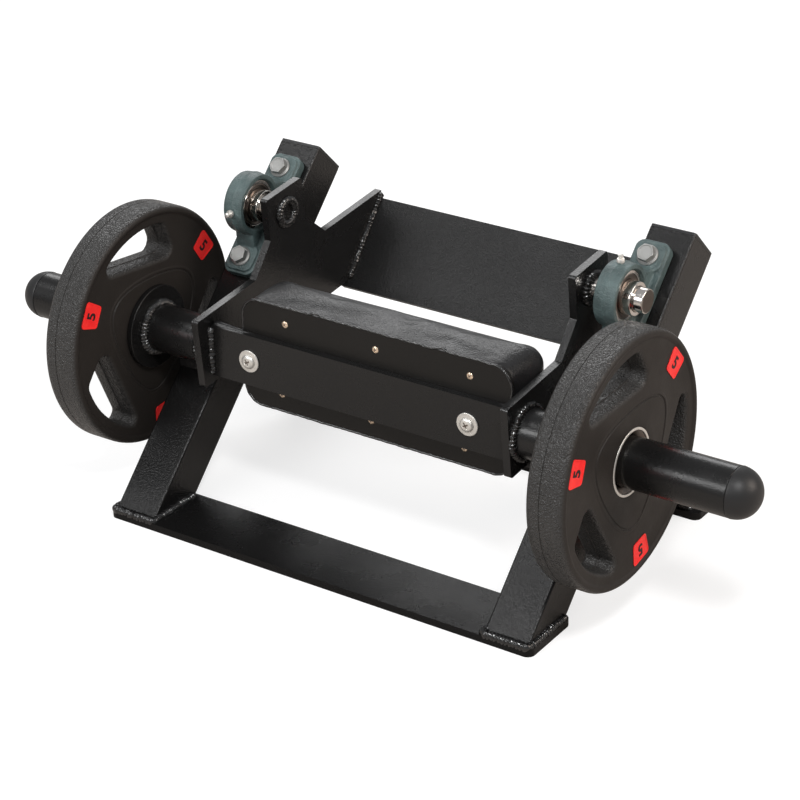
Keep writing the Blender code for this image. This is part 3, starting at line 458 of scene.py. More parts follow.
LEATHERETTE = leatherette()
BOARD_COVER = plain_finish(
    "board_cover", (0.0070, 0.0062, 0.0054), (0.34, 0.46), 0.09, 0.0016, 0.00008, specular=0.30
)
# The seam's black is a little lighter than the leatherette's, as painted highlight along the pad's edge; its
# gloss is its own.
SEAM_HIGHLIGHT = plain_rubber("seam_painted_highlight", (0.014, 0.014, 0.0145), (0.16, 0.26), 0.7)
print("pad:", LEATHERETTE.name, BOARD_COVER.name, SEAM_HIGHLIGHT.name)

# %% [markdown]
# ## Places
#
# The posts lean back at 45 degrees and the lever hangs from a shaft axis between the blocks. Each group of
# pieces gets a frame of its own: up the post, square to the bearing, along the arms, or level at the load
# tubes. A piece is drawn in the frame where its numbers are simple, and then its points are moved to the
# room.

# %% Frames of the posts, the bearings and the lever
SIDES = (("left", -1), ("right", 1))
GAP = 0.0003
FLOOR_THICKNESS = 0.008
TUBE_SIDE = 0.050
POST_X = 0.225
POST_Y = -0.0335
POST_LENGTH = 0.433
LEAN = math.radians(45)
BLOCK_X = {"left": -0.2250, "right": 0.2175}
PIVOT = Vector((0.0, 0.184784, 0.278327))
REST_TILT = math.radians(5.5)
ARM_OUTER = 0.187
ARM_INNER = 0.179
LOAD_AXIS = Vector((0.0, 0.063758, 0.175755))
BAR_MIDDLE = Vector((0.0, 0.054258, 0.174255))


def shift(x=0.0, y=0.0, z=0.0):
    return Matrix.Translation((x, y, z))


def turn(angle, axis):
    return Matrix.Rotation(angle, 4, axis)


# Local X to the back, local Y up and local Z to the right
ALONG_X = Matrix(((0, 0, 1, 0), (1, 0, 0, 0), (0, 1, 0, 0), (0, 0, 0, 1)))
FORWARD = turn(math.pi / 2, "X")
SWING = Matrix.Translation(PIVOT) @ turn(REST_TILT, "X")
LOAD = Matrix.Translation(LOAD_AXIS)
BAR = Matrix.Translation(BAR_MIDDLE)


def outboard(sign):
    """Turns local Z away from the middle of the object."""
    return ALONG_X if sign > 0 else turn(math.pi, "Z") @ ALONG_X


def post_frame(sign):
    return shift(sign * POST_X, POST_Y, FLOOR_THICKNESS) @ turn(LEAN, "X")


def bearing_frame(side):
    return shift(BLOCK_X[side], PIVOT.y, PIVOT.z) @ turn(LEAN, "X")


print("shaft axis at", tuple(round(value, 4) for value in PIVOT))

# %% [markdown]
# ## Cut plate, flat bar and square tube
#
# Plates and tubes are drawn as an outline and stretched, and every edge gets a small round. A perfectly
# sharp edge never catches the light, and this round is what draws the thin bright lines along the black
# steel. The normals are weighted by face area, so that the flat faces stay flat up to the round.


# %% Helpers for outlines, prisms and pieces
SHARP = math.radians(40)


def rounded(corners, radii, steps=5, closed=True):
    """The outline with each corner rounded to its radius."""
    outline = []
    for index, (corner, radius) in enumerate(zip(corners, radii)):
        here = Vector(corner)
        if radius == 0 or (not closed and index in (0, len(corners) - 1)):
            outline.append(tuple(here))
            continue
        back = (Vector(corners[index - 1]) - here).normalized()
        ahead = (Vector(corners[(index + 1) % len(corners)]) - here).normalized()
        half = back.angle(ahead) / 2
        centre = here + (back + ahead).normalized() * radius / math.sin(half)
        start = here + back * radius / math.tan(half) - centre
        end = here + ahead * radius / math.tan(half) - centre
        for step in range(steps + 1):
            outline.append(tuple(centre + start.lerp(end, step / steps).normalized() * radius))
    return outline


def rectangle(width, height, radius=0.0, steps=5):
    x, y = width / 2, height / 2
    return rounded([(-x, -y), (x, -y), (x, y), (-x, y)], [radius] * 4, steps)


def circle(radius, sides):
    angles = [2 * math.pi * side / sides for side in range(sides)]
    return [(radius * math.cos(angle), radius * math.sin(angle)) for angle in angles]


def ring_of(shape, outline, height):
    return [shape.verts.new((x, y, height)) for x, y in outline]


def bridge(shape, rings):
    """Faces from each ring of points to the next one."""
    for near, far in zip(rings, rings[1:]):
        for index in range(len(near)):
            following = (index + 1) % len(near)
            shape.faces.new((near[index], near[following], far[following], far[index]))


def solid(shape, rings):
    """Closes the first and the last ring, and joins each ring to the next one."""
    shape.faces.new(rings[0][::-1])
    shape.faces.new(rings[-1])
    bridge(shape, rings)


def soften(shape, edges, width, segments=3):
    rounding = {"segments": segments, "profile": 0.5, "affect": "EDGES", "clamp_overlap": True}
    bmesh.ops.bevel(shape, geom=edges, offset=width, **rounding)


def mesh_from(name, build, frame=Matrix.Identity(4)):
    shape = bmesh.new()
    build(shape)
    bmesh.ops.recalc_face_normals(shape, faces=shape.faces)
    bmesh.ops.transform(shape, matrix=frame, verts=shape.verts)
    mesh = bpy.data.meshes.new(name)
    shape.to_mesh(mesh)
    shape.free()
    return mesh


def prism(name, outline, low, high, frame, edge=0.0, segments=3):
    """The outline stretched along local Z from low to high, its sharp edges rounded."""

    def build(shape):
        solid(shape, [ring_of(shape, outline, height) for height in (low, high)])
        if edge:
            sharp = [side for side in shape.edges if side.calc_face_angle(0) > SHARP]
            soften(shape, sharp, edge, segments)

    return mesh_from(name, build, frame)


def add_piece(mesh, body, finish, stands_for=(), sharp=38.0, flat=False):
    """Puts a mesh in the room on the body that carries it, and hides the imported nodes that it stands for.
    """
    piece = bpy.data.objects.new(mesh.name, mesh)
    bpy.context.scene.collection.objects.link(piece)
    mesh.materials.append(finish)
    mesh.shade_smooth()
    mesh.set_sharp_from_angle(angle=math.radians(sharp))
    if flat:
        weighted = piece.modifiers.new("even faces", "WEIGHTED_NORMAL")
        weighted.mode = "FACE_AREA"
        weighted.weight = 100
        weighted.keep_sharp = True
    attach(piece, body)
    if stands_for:
        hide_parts(*stands_for)
    return piece


# %% Floor plates
FLOOR_WIDTH = 0.075
FLOOR_CORNER = 0.008
FLOOR_PLATES = (("front_floor_plate", 0.510, 0.0), ("rear_floor_plate", 0.526, 0.312417))
for name, length, middle in FLOOR_PLATES:
    outline = rectangle(length, FLOOR_WIDTH, FLOOR_CORNER)
    mesh = prism(name + "_steel", outline, 0.0, FLOOR_THICKNESS, shift(y=middle), edge=0.0012)
    add_piece(mesh, "stand", FLOOR_COAT, [name], flat=True)
print("floor plates:", len(FLOOR_PLATES))

# %% [markdown]
# The posts and struts are square tube. A tube's corners are rounder than a plate's edges, about 2 mm. Each
# is cut level where it stands on its floor plate, so a long tube is drawn and the plane of the plate cuts
# it.


# %% Posts, struts and post caps
def square_tube(name, low, high, frame):
    """A square tube along local Z, its end below the floor plate's top cut off level."""

    def build(shape):
        outline = rectangle(TUBE_SIDE, TUBE_SIDE, 0.0024, steps=6)
        solid(shape, [ring_of(shape, outline, height) for height in (low, high)])
        bmesh.ops.transform(shape, matrix=frame, verts=shape.verts)
        everything = shape.verts[:] + shape.edges[:] + shape.faces[:]
        top = (0, 0, FLOOR_THICKNESS + GAP)
        cut = bmesh.ops.bisect_plane(
            shape, geom=everything, plane_co=top, plane_no=(0, 0, 1), clear_inner=True
        )
        rim = [item for item in cut["geom_cut"] if isinstance(item, bmesh.types.BMEdge)]
        bmesh.ops.holes_fill(shape, edges=rim)

    return mesh_from(name, build)


STRUT_AT = 0.2196
CAP_THICKNESS = 0.003
for side, sign in SIDES:
    foot = post_frame(sign)
    along_post = foot @ shift(z=-TUBE_SIDE / 2) @ turn(-math.pi / 2, "X")
    mesh = square_tube(f"post_tube_{side}", -0.06, POST_LENGTH, along_post)
    add_piece(mesh, "stand", COAT, [f"post_{side}"], flat=True)
    along_strut = foot @ shift(y=STRUT_AT + TUBE_SIDE / 2)
    mesh = square_tube(f"strut_tube_{side}", -0.36, -TUBE_SIDE - GAP, along_strut)
    add_piece(mesh, "stand", COAT, [f"rear_strut_{side}"], flat=True)
    cap_frame = foot @ shift(y=POST_LENGTH + GAP, z=-TUBE_SIDE / 2) @ turn(-math.pi / 2, "X")
    outline = rectangle(TUBE_SIDE, TUBE_SIDE, 0.003, steps=6)
    mesh = prism(f"post_end_cap_{side}", outline, 0.0, CAP_THICKNESS, cap_frame, edge=0.0012)
    add_piece(mesh, "stand", PLASTIC, [f"post_cap_{side}"], flat=True)
print("posts and struts:", 4)

# %% [markdown]
# ## The lever's steel
#
# Two arms of 8 mm plate carry everything that swings. Each is a bar with a slanting rear end and an ear
# that rises to the shaft. The heel plate closes the rear ends, a flat bar joins the front ends, and under
# each load tube a small tab comes to rest on the post.


# %% Arms, heel plate and front bar
ARM_FRONT, ARM_LOW, ARM_TOP = -0.160, -0.127, -0.051
HEEL = 0.093
EAR_HALF, EAR_TOP, GUSSET = 0.0305, 0.026, 0.031
HEEL_CORNER = SWING @ shift(y=HEEL, z=ARM_LOW) @ turn(-LEAN, "X")
HEEL_PLATE_DEPTH = 0.105
HEEL_PLATE_THICKNESS = 0.008
BAR_HEIGHT = 0.0555
BAR_HALF = 0.004


def arm_outline():
    """The arm seen from the right, from the shaft axis: backwards, then up. Its slants are all 45 degrees."""
    half, shoulder = EAR_HALF + GUSSET, ARM_TOP + GUSSET
    corners = [
        (ARM_FRONT, ARM_LOW),
        (HEEL, ARM_LOW),
        (HEEL + ARM_TOP - ARM_LOW, ARM_TOP),
        (half, ARM_TOP),
        (EAR_HALF, shoulder),
        (EAR_HALF, EAR_TOP),
        (-EAR_HALF, EAR_TOP),
        (-EAR_HALF, shoulder),
        (-half, ARM_TOP),
        (ARM_FRONT, ARM_TOP),
    ]
    return rounded(corners, [0.003, 0.001, 0.001, 0.002, 0.002, 0.003, 0.003, 0.002, 0.002, 0.003])


def lever_plates():
    for side, sign in SIDES:
        low, high = sorted((sign * ARM_INNER, sign * ARM_OUTER))
        mesh = prism(f"arm_plate_{side}", arm_outline(), low, high, SWING @ ALONG_X, edge=0.0007)
        add_piece(mesh, "lever", ARM_COAT, [f"arm_{side}"], flat=True)
    plate_frame = HEEL_CORNER @ shift(y=GAP, z=HEEL_PLATE_DEPTH / 2 - 0.007) @ FORWARD
    outline = rectangle(2 * ARM_OUTER, HEEL_PLATE_DEPTH, 0.001, steps=2)
    mesh = prism("heel_plate", outline, -HEEL_PLATE_THICKNESS, 0.0, plate_frame, edge=0.0007)
    add_piece(mesh, "lever", SPARKLING_COAT, ["rear_plate"], flat=True)
    outline = rectangle(2 * (ARM_INNER - GAP), BAR_HEIGHT, 0.0008, steps=2)
    mesh = prism("front_flat_bar", outline, -BAR_HALF, BAR_HALF, BAR @ FORWARD, edge=0.0011)
    add_piece(mesh, "lever", SMOOTH_COAT, ["front_bar"], flat=True)


lever_plates()
print("lever plates:", 4)


# %% Rest tabs
def rest_tab(side, sign):
    """A level tab on the arm's outer face, cut to the slope of the post behind it."""
    inner, outer = ARM_OUTER + GAP, 0.2415
    front, chamfer = -0.0005, 0.008
    top, thickness = -0.0275, 0.010

    def build(shape):
        rings = []
        for level in (top, top - thickness):
            height = LOAD_AXIS.z + level - FLOOR_THICKNESS
            back = height + POST_Y - LOAD_AXIS.y - GAP / math.cos(LEAN)
            outline = [(inner, front), (outer - chamfer, front), (outer, front + chamfer)]
            outline += [(outer, back), (inner, back)]
            rings.append(ring_of(shape, [(sign * x, y) for x, y in outline], level))
        solid(shape, rings)
        soften(shape, shape.edges[:], 0.0007)

    mesh = mesh_from(f"stop_tab_{side}", build, LOAD)
    add_piece(mesh, "lever", COAT, [f"rest_tab_{side}"], flat=True)


for side, sign in SIDES:
    rest_tab(side, sign)
print("rest tabs:", 2)

# %% [markdown]
# ## Round pieces
#
# A turned piece is a profile spun round an axis, as on a lathe. The helper takes the profile's corners and
# a radius for each, so that a chamfer or a round can be given where the real piece has one.


# %% A lathe
def lathe(name, profile, frame, sides=72, closed=False, radii=None, steps=4):
    """Spins a profile of radii and heights round local Z. An open profile starts and ends on the axis."""
    points = rounded(profile, radii, steps, closed) if radii else profile

    def build(shape):
        rings = []
        for radius, height in points:
            around = circle(radius, sides) if radius > 1e-7 else [(0.0, 0.0)]
            rings.append(ring_of(shape, around, height))
        for near, far in zip(rings, rings[1:] + rings[:1] if closed else rings[1:]):
            for index in range(sides):
                following = (index + 1) % sides
                if len(near) == 1:
                    shape.faces.new((near[0], far[index], far[following]))
                elif len(far) == 1:
                    shape.faces.new((near[index], far[0], near[following]))
                else:
                    shape.faces.new((near[index], far[index], far[following], near[following]))

    return mesh_from(name, build, frame)


def rod(name, radius, start, end, frame, sides):
    return lathe(name, [(0.0, start), (radius, start), (radius, end), (0.0, end)], frame, sides)


# %% Load tubes, stop discs and end caps
LOAD_RADIUS = 0.0248
LOAD_BORE = 0.0218
DISC_OUTER_FACE = 0.2645
DISC_BACK = DISC_OUTER_FACE - 0.006
LOAD_END = 0.409
for side, sign in SIDES:
    axis = LOAD @ outboard(sign)
    start = ARM_OUTER + GAP
    profile = [(LOAD_BORE, start), (LOAD_RADIUS, start), (LOAD_RADIUS, LOAD_END), (LOAD_BORE, LOAD_END)]
    mesh = lathe(f"load_tube_steel_{side}", profile, axis, 96, True, [0.0, 0.0006, 0.0006, 0.0])
    add_piece(mesh, "lever", SMOOTH_COAT, [f"load_tube_{side}"], flat=True)

    bore, rim = LOAD_RADIUS + GAP, 0.044
    profile = [(bore, DISC_BACK), (rim, DISC_BACK), (rim, DISC_OUTER_FACE), (bore, DISC_OUTER_FACE)]
    mesh = lathe(f"stop_disc_steel_{side}", profile, axis, 96, True, [0.0, 0.0009, 0.0009, 0.0])
    add_piece(mesh, "lever", COAT, [f"stop_disc_{side}"], flat=True)

    angles = [math.radians(angle) for angle in range(90, -1, -6)]
    swell = [(0.0250 * math.cos(a) ** 0.94, 0.0249 * math.sin(a) ** 0.97) for a in angles[1:-1]]
    skirt = [(0.0251, 0.0014), (0.0248, 0.0004), (0.0214, 0.0003), (0.0214, -0.014), (0.0, -0.014)]
    mesh = lathe(f"domed_cap_{side}", [(0.0, 0.025)] + swell + skirt, axis @ shift(z=LOAD_END), 96)
    add_piece(mesh, "lever", CAP_RUBBER, [f"tube_cap_{side}"])
print("load tubes:", 2)

# %% [markdown]
# ## Pillow blocks
#
# Each block is an iron casting: a foot with a raised seat at each bolt, an eye round the bearing and
# shoulders that join them. A casting has no sharp inner corner, because molten iron won't fill one. So the
# rough solids are joined with a voxel remesh, which melts them into one skin, and then smoothed. The bore
# and the eye's faces are machined afterwards, and a Boolean cuts them crisply out of that skin.


# %% Helpers that melt and carve meshes
def evaluated(piece):
    """The piece's mesh with its modifiers applied, and the piece itself cleared away."""
    graph = bpy.context.evaluated_depsgraph_get()
    mesh = bpy.data.meshes.new_from_object(piece.evaluated_get(graph))
    bpy.data.objects.remove(piece)
    return mesh


def loose(name, mesh):
    piece = bpy.data.objects.new(name, mesh)
    bpy.context.scene.collection.objects.link(piece)
    return piece


def joined(name, meshes):
    shape = bmesh.new()
    for mesh in meshes:
        shape.from_mesh(mesh)
    whole = bpy.data.meshes.new(name)
    shape.to_mesh(whole)
    shape.free()
    return whole


def melted(name, meshes, voxel, smoothing):
    piece = loose(name, joined(name, meshes))
    remesh = piece.modifiers.new("melt", "REMESH")
    remesh.mode = "VOXEL"
    remesh.voxel_size = voxel
    smooth = piece.modifiers.new("settle", "SMOOTH")
    smooth.factor = 0.5
    smooth.iterations = smoothing
    mesh = evaluated(piece)
    mesh.name = name
    return mesh


def carved(base, tool, operation="DIFFERENCE"):
    name = base.name
    piece, cutter = loose(name + "_work", base), loose(name + "_tool", tool)
    boolean = piece.modifiers.new("carve", "BOOLEAN")
    boolean.operation = operation
    boolean.solver = "EXACT"
    boolean.object = cutter
    mesh = evaluated(piece)
    bpy.data.objects.remove(cutter)
    mesh.name = name
    return mesh


# %% The housings
BASE = -0.0365
EYE_RADIUS = 0.0335
EYE_HALF = 0.01175
BOLT_AT = 0.0525
FOOT_TOP = BASE + 0.0104
SEAT_TOP = BASE + 0.0132
VOXEL = 0.0008
NIPPLE_TURN = {"left": math.radians(45), "right": math.radians(-45)}


def housing_skin(side):
    """The rough casting. Its eye tapers from the line where the halves of the mould met."""
    middle = bearing_frame(side)
    outline = rectangle(0.0378, 0.1398, 0.009)
    parts = [prism("foot", outline, BASE, FOOT_TOP, middle)]
    for end in (-1, 1):
        seat = [(x, y + end * 0.0520) for x, y in rectangle(0.0330, 0.0300, 0.0085)]
        parts.append(prism("seat", seat, BASE + 0.004, SEAT_TOP, middle))
        parts.append(rod("boss", 0.0128, 0.0, 0.014, middle @ shift(y=end * BOLT_AT, z=BASE), 72))
    mould_line = EYE_RADIUS + 0.0002
    half = [
        (mould_line, 0.0),
        (mould_line, 0.0007),
        (EYE_RADIUS - 0.0005, 0.0014),
        (EYE_RADIUS - 0.0014, EYE_HALF - 0.0002),
        (0.0, EYE_HALF - 0.0002),
    ]
    eye = [(radius, -height) for radius, height in half[:0:-1]] + half
    parts.append(lathe("eye", eye, middle @ ALONG_X, 120))
    right_half = [(0.0402, BASE + 0.004), (0.0402, -0.0222), (0.0312, -0.0112)]
    left_half = [(-along, up) for along, up in right_half]
    shoulders = left_half[:1] + right_half + [(0.0, 0.0)] + left_half[:0:-1]
    parts.append(prism("shoulders", shoulders, 0.0006 - EYE_HALF, EYE_HALF - 0.0006, middle @ ALONG_X))
    boss_top = EYE_RADIUS - 0.0006
    nipple_boss = [(0.0, 0.02), (0.0068, 0.02), (0.0058, boss_top), (0.0, boss_top)]
    parts.append(lathe("nipple_boss", nipple_boss, middle @ turn(NIPPLE_TURN[side], "X"), 24))
    return melted(f"housing_casting_{side}", parts, VOXEL, 5)


def housing_bore(side):
    """The bore, which opens into a dished recess on both faces of the eye."""
    half = [(0.0262, 0.0087), (0.0268, 0.0091), (0.0272, 0.0108), (0.0282, 0.0119), (0.0282, 0.0150)]
    profile = half[::-1] + [(radius, -height) for radius, height in half]
    return lathe("bore", [(0.0, 0.0150)] + profile + [(0.0, -0.0150)], bearing_frame(side) @ ALONG_X, 96)


for side, sign in SIDES:
    mesh = carved(housing_skin(side), housing_bore(side))
    add_piece(mesh, "stand", CASTING, [f"bearing_housing_{side}"], sharp=50)
    print(mesh.name, "faces:", len(mesh.polygons))

# %% [markdown]
# The bearing in each block is an insert bearing. Its outer ring sits in the bore, pressed steel shields
# cover the balls, and the long end of the inner ring stands out on the right, where a set screw clamps it
# to the shaft.


# %% Bearing rings, shields and set screws
SET_SCREW_TURN = math.radians(58)
SHAFT_END = 0.2480
SAWN_DEPTH = 0.0006
# Radius and height along the shaft
SHIELD = (
    (0.0221, 0.0072),
    (0.0221, 0.0080),
    (0.0208, 0.0084),
    (0.0196, 0.0076),
    (0.0175, 0.0074),
    (0.0175, 0.0066),
    (0.0205, 0.0066),
)
# Radius and height over the middle of the shaft
SOCKET = (
    (0.0, 0.0146),
    (0.0014, 0.0146),
    (0.0015, 0.0164),
    (0.0027, 0.0164),
    (0.0030, 0.0161),
    (0.0030, 0.0129),
    (0.0, 0.0129),
)
for side, sign in SIDES:
    fixed = bearing_frame(side) @ ALONG_X
    profile = [(0.0260, 0.0085), (0.0260, -0.0085), (0.0223, -0.0085), (0.0223, 0.0085)]
    mesh = lathe(f"outer_ring_{side}", profile, fixed, 96, True, [0.0007, 0.0007, 0.0004, 0.0004], 3)
    add_piece(mesh, "stand", STEEL, [f"bearing_outer_ring_{side}"], flat=True)
    for where, direction in (("inner", -sign), ("outer", sign)):
        profile = [(radius, direction * height) for radius, height in SHIELD]
        mesh = lathe(f"shield_{where}_{side}", profile, fixed, 96, True)
        add_piece(mesh, "stand", PRESSED_STEEL_AND_SHADE, [f"bearing_seal_{where}_{side}"])
    turning = SWING @ shift(x=BLOCK_X[side]) @ ALONG_X
    profile = [(0.0170, 0.0197), (0.0170, -0.0143), (0.0128, -0.0143), (0.0128, 0.0197)]
    mesh = lathe(f"inner_ring_{side}", profile, turning, 96, True, [0.0008, 0.0008, 0.0005, 0.0005], 3)
    screw_axis = turning @ shift(z=0.0150) @ turn(SET_SCREW_TURN, "Z") @ turn(-math.pi / 2, "X")
    mesh = carved(mesh, rod("screw_hole", 0.0031, 0.0140, 0.0180, screw_axis, 24))
    add_piece(mesh, "lever", STEEL, [f"bearing_inner_ring_{side}"], flat=True)
    mesh = lathe(f"set_screw_{side}", SOCKET, screw_axis, 24)
    add_piece(mesh, "lever", PRESSED_STEEL_AND_SHADE, [f"bearing_set_screw_{side}"])
    along_shaft = SWING @ outboard(sign)
    end = SHAFT_END - 0.0001
    profile = [(0.0, end), (0.0125, end), (0.0125, ARM_INNER), (0.0, ARM_INNER)]
    mesh = lathe(f"stub_shaft_{side}", profile, along_shaft, 96, radii=[0.0, 0.0011, 0.0009, 0.0], steps=3)
    add_piece(mesh, "lever", STEEL, [f"pivot_shaft_{side}"], flat=True)
    mesh = rod(f"sawn_end_{side}", 0.0113, SHAFT_END, SHAFT_END - SAWN_DEPTH, along_shaft, 96)
    add_piece(mesh, "lever", SAWN_STEEL)
    mesh = rod(f"coated_end_{side}", 0.0118, ARM_INNER - 0.0007, ARM_INNER - 0.0002, along_shaft, 96)
    add_piece(mesh, "lever", COAT)
print("bearings:", 2)

# %% [markdown]
# ## Bolts and nuts
#
# A rolled flange bolt has a hexagon head whose top corners are turned off at 30 degrees. The head is
# therefore the common part of a hexagonal prism and a cone, and a Boolean intersection gives exactly that.


# %% Block bolts, nuts and grease nipples
def hex_head(name, radius, low, high, frame, dish=0.0):
    """A hexagonal prism with its top corners turned off, and a shallow dish in its top."""
    block = prism(name, circle(radius, 6), low, high, frame)
    rim, wide, below = radius * 0.90, radius * 1.06, low - 0.001
    cone = [(0.0, high - dish), (rim * 0.80, high - dish), (rim * 0.86, high), (rim, high)]
    cone += [(wide, high - radius * 0.10), (wide, below), (0.0, below)]
    return carved(block, lathe("turned_top", cone, frame, 60), "INTERSECT")


# Name, place along the foot, and turn of the head
BLOCK_BOLTS = (("lower", -BOLT_AT, 0.35), ("upper", BOLT_AT, 0.95))
BOLT_SEAT = -0.0222
BOLT_REACH = 0.0767
NUT_HEIGHT = 0.008
NUT_SEAT = BOLT_SEAT - 0.0649 - NUT_HEIGHT
FLANGE = ((0.0, 0.0015), (0.0092, 0.0022), (0.0108, 0.0010), (0.0110, 0.0), (0.0050, 0.0))
# Radius and height over the eye
NIPPLE = (
    (0.0, 0.0086),
    (0.0014, 0.0086),
    (0.0026, 0.0078),
    (0.0028, 0.0068),
    (0.0019, 0.0052),
    (0.0022, 0.0042),
    (0.0036, 0.0040),
    (0.0040, 0.0032),
    (0.0040, 0.0008),
    (0.0034, 0.0002),
    (0.0029, 0.0),
    (0.0029, -0.0058),
    (0.0, -0.0058),
)
for side, sign in SIDES:
    middle = bearing_frame(side)
    for where, offset, spin in BLOCK_BOLTS:
        seat = middle @ shift(y=offset, z=BOLT_SEAT) @ turn(sign * spin, "Z")
        profile = [*FLANGE, (0.0050, -BOLT_REACH), (0.0, -BOLT_REACH)]
        shank = lathe("shank", profile, seat, 48)
        head = hex_head("head", 0.0093, 0.0008, 0.0082, seat, 0.0005)
        mesh = joined(f"flange_bolt_{where}_{side}", [shank, head])
        add_piece(mesh, "stand", DULL_ZINC, [f"block_bolt_{where}_{side}"], sharp=28)
        nut_seat = middle @ shift(y=offset, z=NUT_SEAT)
        mesh = hex_head(f"post_nut_{where}_{side}", 0.0095, 0.0, NUT_HEIGHT, nut_seat)
        mesh = carved(mesh, rod("nut_bore", 0.0052, -0.01, 0.02, nut_seat, 32))
        add_piece(mesh, "stand", DULL_ZINC, [f"block_nut_{where}_{side}"], sharp=28)
    upright = middle @ turn(NIPPLE_TURN[side], "X") @ shift(z=EYE_RADIUS)
    mesh = lathe(f"nipple_{side}", NIPPLE, upright, 32)
    add_piece(mesh, "stand", ZINC, [f"grease_nipple_{side}"])
print("bolts:", 4, "nipples:", 2)


# %% Pad bolts and washers
def cross(reach, width):
    """The outline of a cross whose arms reach as far as reach and are twice as wide as width."""
    arm = [(reach, -width), (reach, width), (width, width)]
    return [(x * c - y * s, x * s + y * c) for c, s in ((1, 0), (0, 1), (-1, 0), (0, -1)) for x, y in arm]


def painted_recess_shade(name, radius, depth, frame):
    """A dark cross down in a recess: painted shade that darkens the recess."""
    return prism(name, cross(radius * 0.70, radius * 0.17), -depth * 0.95, -depth * 0.33, frame)


def cross_recess(radius, depth, frame):
    """A cross that narrows as it goes down, for the recess of a cross-head screw."""

    def build(shape):
        levels = ((radius, radius * 0.22, depth * 0.3), (radius * 0.40, radius * 0.14, -depth))
        solid(shape, [ring_of(shape, cross(reach, width), height) for reach, width, height in levels])

    return mesh_from("cross_recess", build, frame)


PAD_BOLT_X = 0.1305
WASHER_BACK = BAR_HALF + GAP
WASHER_FRONT = WASHER_BACK + 0.0016
HEAD_HEIGHT = 0.0030
HEAD_RECESS = (0.0044, 0.0024)
# Radius and height over the washer
ROUND_HEAD = (
    (0.0, HEAD_HEIGHT),
    (0.0042, HEAD_HEIGHT),
    (0.0058, 0.0026),
    (0.0071, 0.0015),
    (0.0075, 0.0004),
    (0.0074, 0.0),
    (0.0040, 0.0),
    (0.0040, -0.0165),
    (0.0, -0.0165),
)
for side, sign in SIDES:
    axis = BAR @ shift(x=sign * PAD_BOLT_X) @ FORWARD
    profile = [(0.0120, WASHER_BACK), (0.0120, WASHER_FRONT), (0.0045, WASHER_FRONT), (0.0045, WASHER_BACK)]
    mesh = lathe(f"washer_{side}", profile, axis, 64, True, [0.0003, 0.0006, 0.0002, 0.0002], 3)
    add_piece(mesh, "lever", ZINC, [f"pad_washer_{side}"], flat=True)
    seat = axis @ shift(z=WASHER_FRONT + GAP)
    head = lathe(f"cross_head_bolt_{side}", ROUND_HEAD, seat, 64)
    recess_frame = seat @ shift(z=HEAD_HEIGHT) @ turn(0.5, "Z")
    mesh = carved(head, cross_recess(*HEAD_RECESS, recess_frame))
    add_piece(mesh, "lever", ZINC, [f"pad_bolt_{side}"], sharp=30)
    # A dark cross in the recess, as painted shade.
    mesh = painted_recess_shade(f"bolt_recess_floor_{side}", *HEAD_RECESS, recess_frame)
    add_piece(mesh, "lever", PRESSED_STEEL_AND_SHADE)
print("pad bolts:", 2)


# %% [markdown]
# ## Weld beads
#
# The frame is welded by hand, and its beads are lumpy and shine under the coat. A bead is a tube along a
# seam, half sunk in both plates. Its surface is a row of scales, each where the welder paused, so the
# radius rises and falls every few millimetres. The scales are bowed, because the pool cools from its edges
# to its middle.


# %% A weld bead along a path
def resampled(path, crests, spacing, closed):
    """Points at an even spacing along the path, each with the direction in which its bead stands out."""
    points = [Vector(point) for point in path]
    crests = [Vector(crest) for crest in crests]
    if closed:
        points.append(points[0])
        crests.append(crests[0])
    lengths = [0.0]
    for near, far in zip(points, points[1:]):
        lengths.append(lengths[-1] + (far - near).length)
    count = max(4, round(lengths[-1] / spacing))
    even, span = [], 0
    for index in range(count if closed else count + 1):
        along = lengths[-1] * index / count
        while span < len(points) - 2 and lengths[span + 1] < along:
            span += 1
        share = (along - lengths[span]) / max(lengths[span + 1] - lengths[span], 1e-9)
        crest = crests[span].lerp(crests[span + 1], share).normalized()
        even.append((points[span].lerp(points[span + 1], share), crest, along))
    return even


BEAD_SIDES = 14
BEAD_SPACING = 0.00065
LUMPS = 400


def bead(name, path, crests, radius, closed=False, pitch=0.0034, seed=1, narrows=1.0, lumpy=1.0):
    """A bead that may narrow to a share of its radius, over scales that stand out as lumpy says."""
    pace = random.Random(seed)
    lumps = [pace.uniform(0.82, 1.18) for _ in range(LUMPS)]
    even = resampled(path, crests, BEAD_SPACING, closed)

    def build(shape):
        rings = []
        for index, (centre, crest, along) in enumerate(even):
            before = even[index - 1][0] if index or closed else centre
            after = even[(index + 1) % len(even)][0] if index < len(even) - 1 or closed else centre
            ahead = (after - before).normalized()
            out = (crest - ahead * crest.dot(ahead)).normalized()
            across = ahead.cross(out)
            taper = 1.0 if closed else min(1.0, 0.35 + min(index, len(even) - 1 - index) * 0.16)
            taper *= 1.0 + (narrows - 1.0) * index / (len(even) - 1)
            ring = []
            for side in range(BEAD_SIDES):
                angle = 2 * math.pi * side / BEAD_SIDES
                bow = 0.32 * (1 - math.cos(angle))
                scale, part = divmod(along / pitch + bow, 1.0)
                lump = lumps[int(scale) % LUMPS]
                rise = 1.0 + lumpy * (0.24 * lump * math.sin(math.pi * part ** 0.7) - 0.07)
                rough = 1.0 + 0.17 * lumpy * noise.noise(centre * 330 + Vector((angle, seed, 0)))
                reach = radius * taper * rise * rough * (0.85 + 0.15 * lump)
                direction = out * math.cos(angle) + across * math.sin(angle)
                ring.append(shape.verts.new(centre + direction * reach))
            rings.append(ring)
        if closed:
            bridge(shape, rings + rings[:1])
        else:
            solid(shape, rings)

    return mesh_from(name, build)


def seam(name, start, end, crest, radius, **settings):
    """A straight bead."""
    return bead(name, [start, end], [crest, crest], radius, **settings)


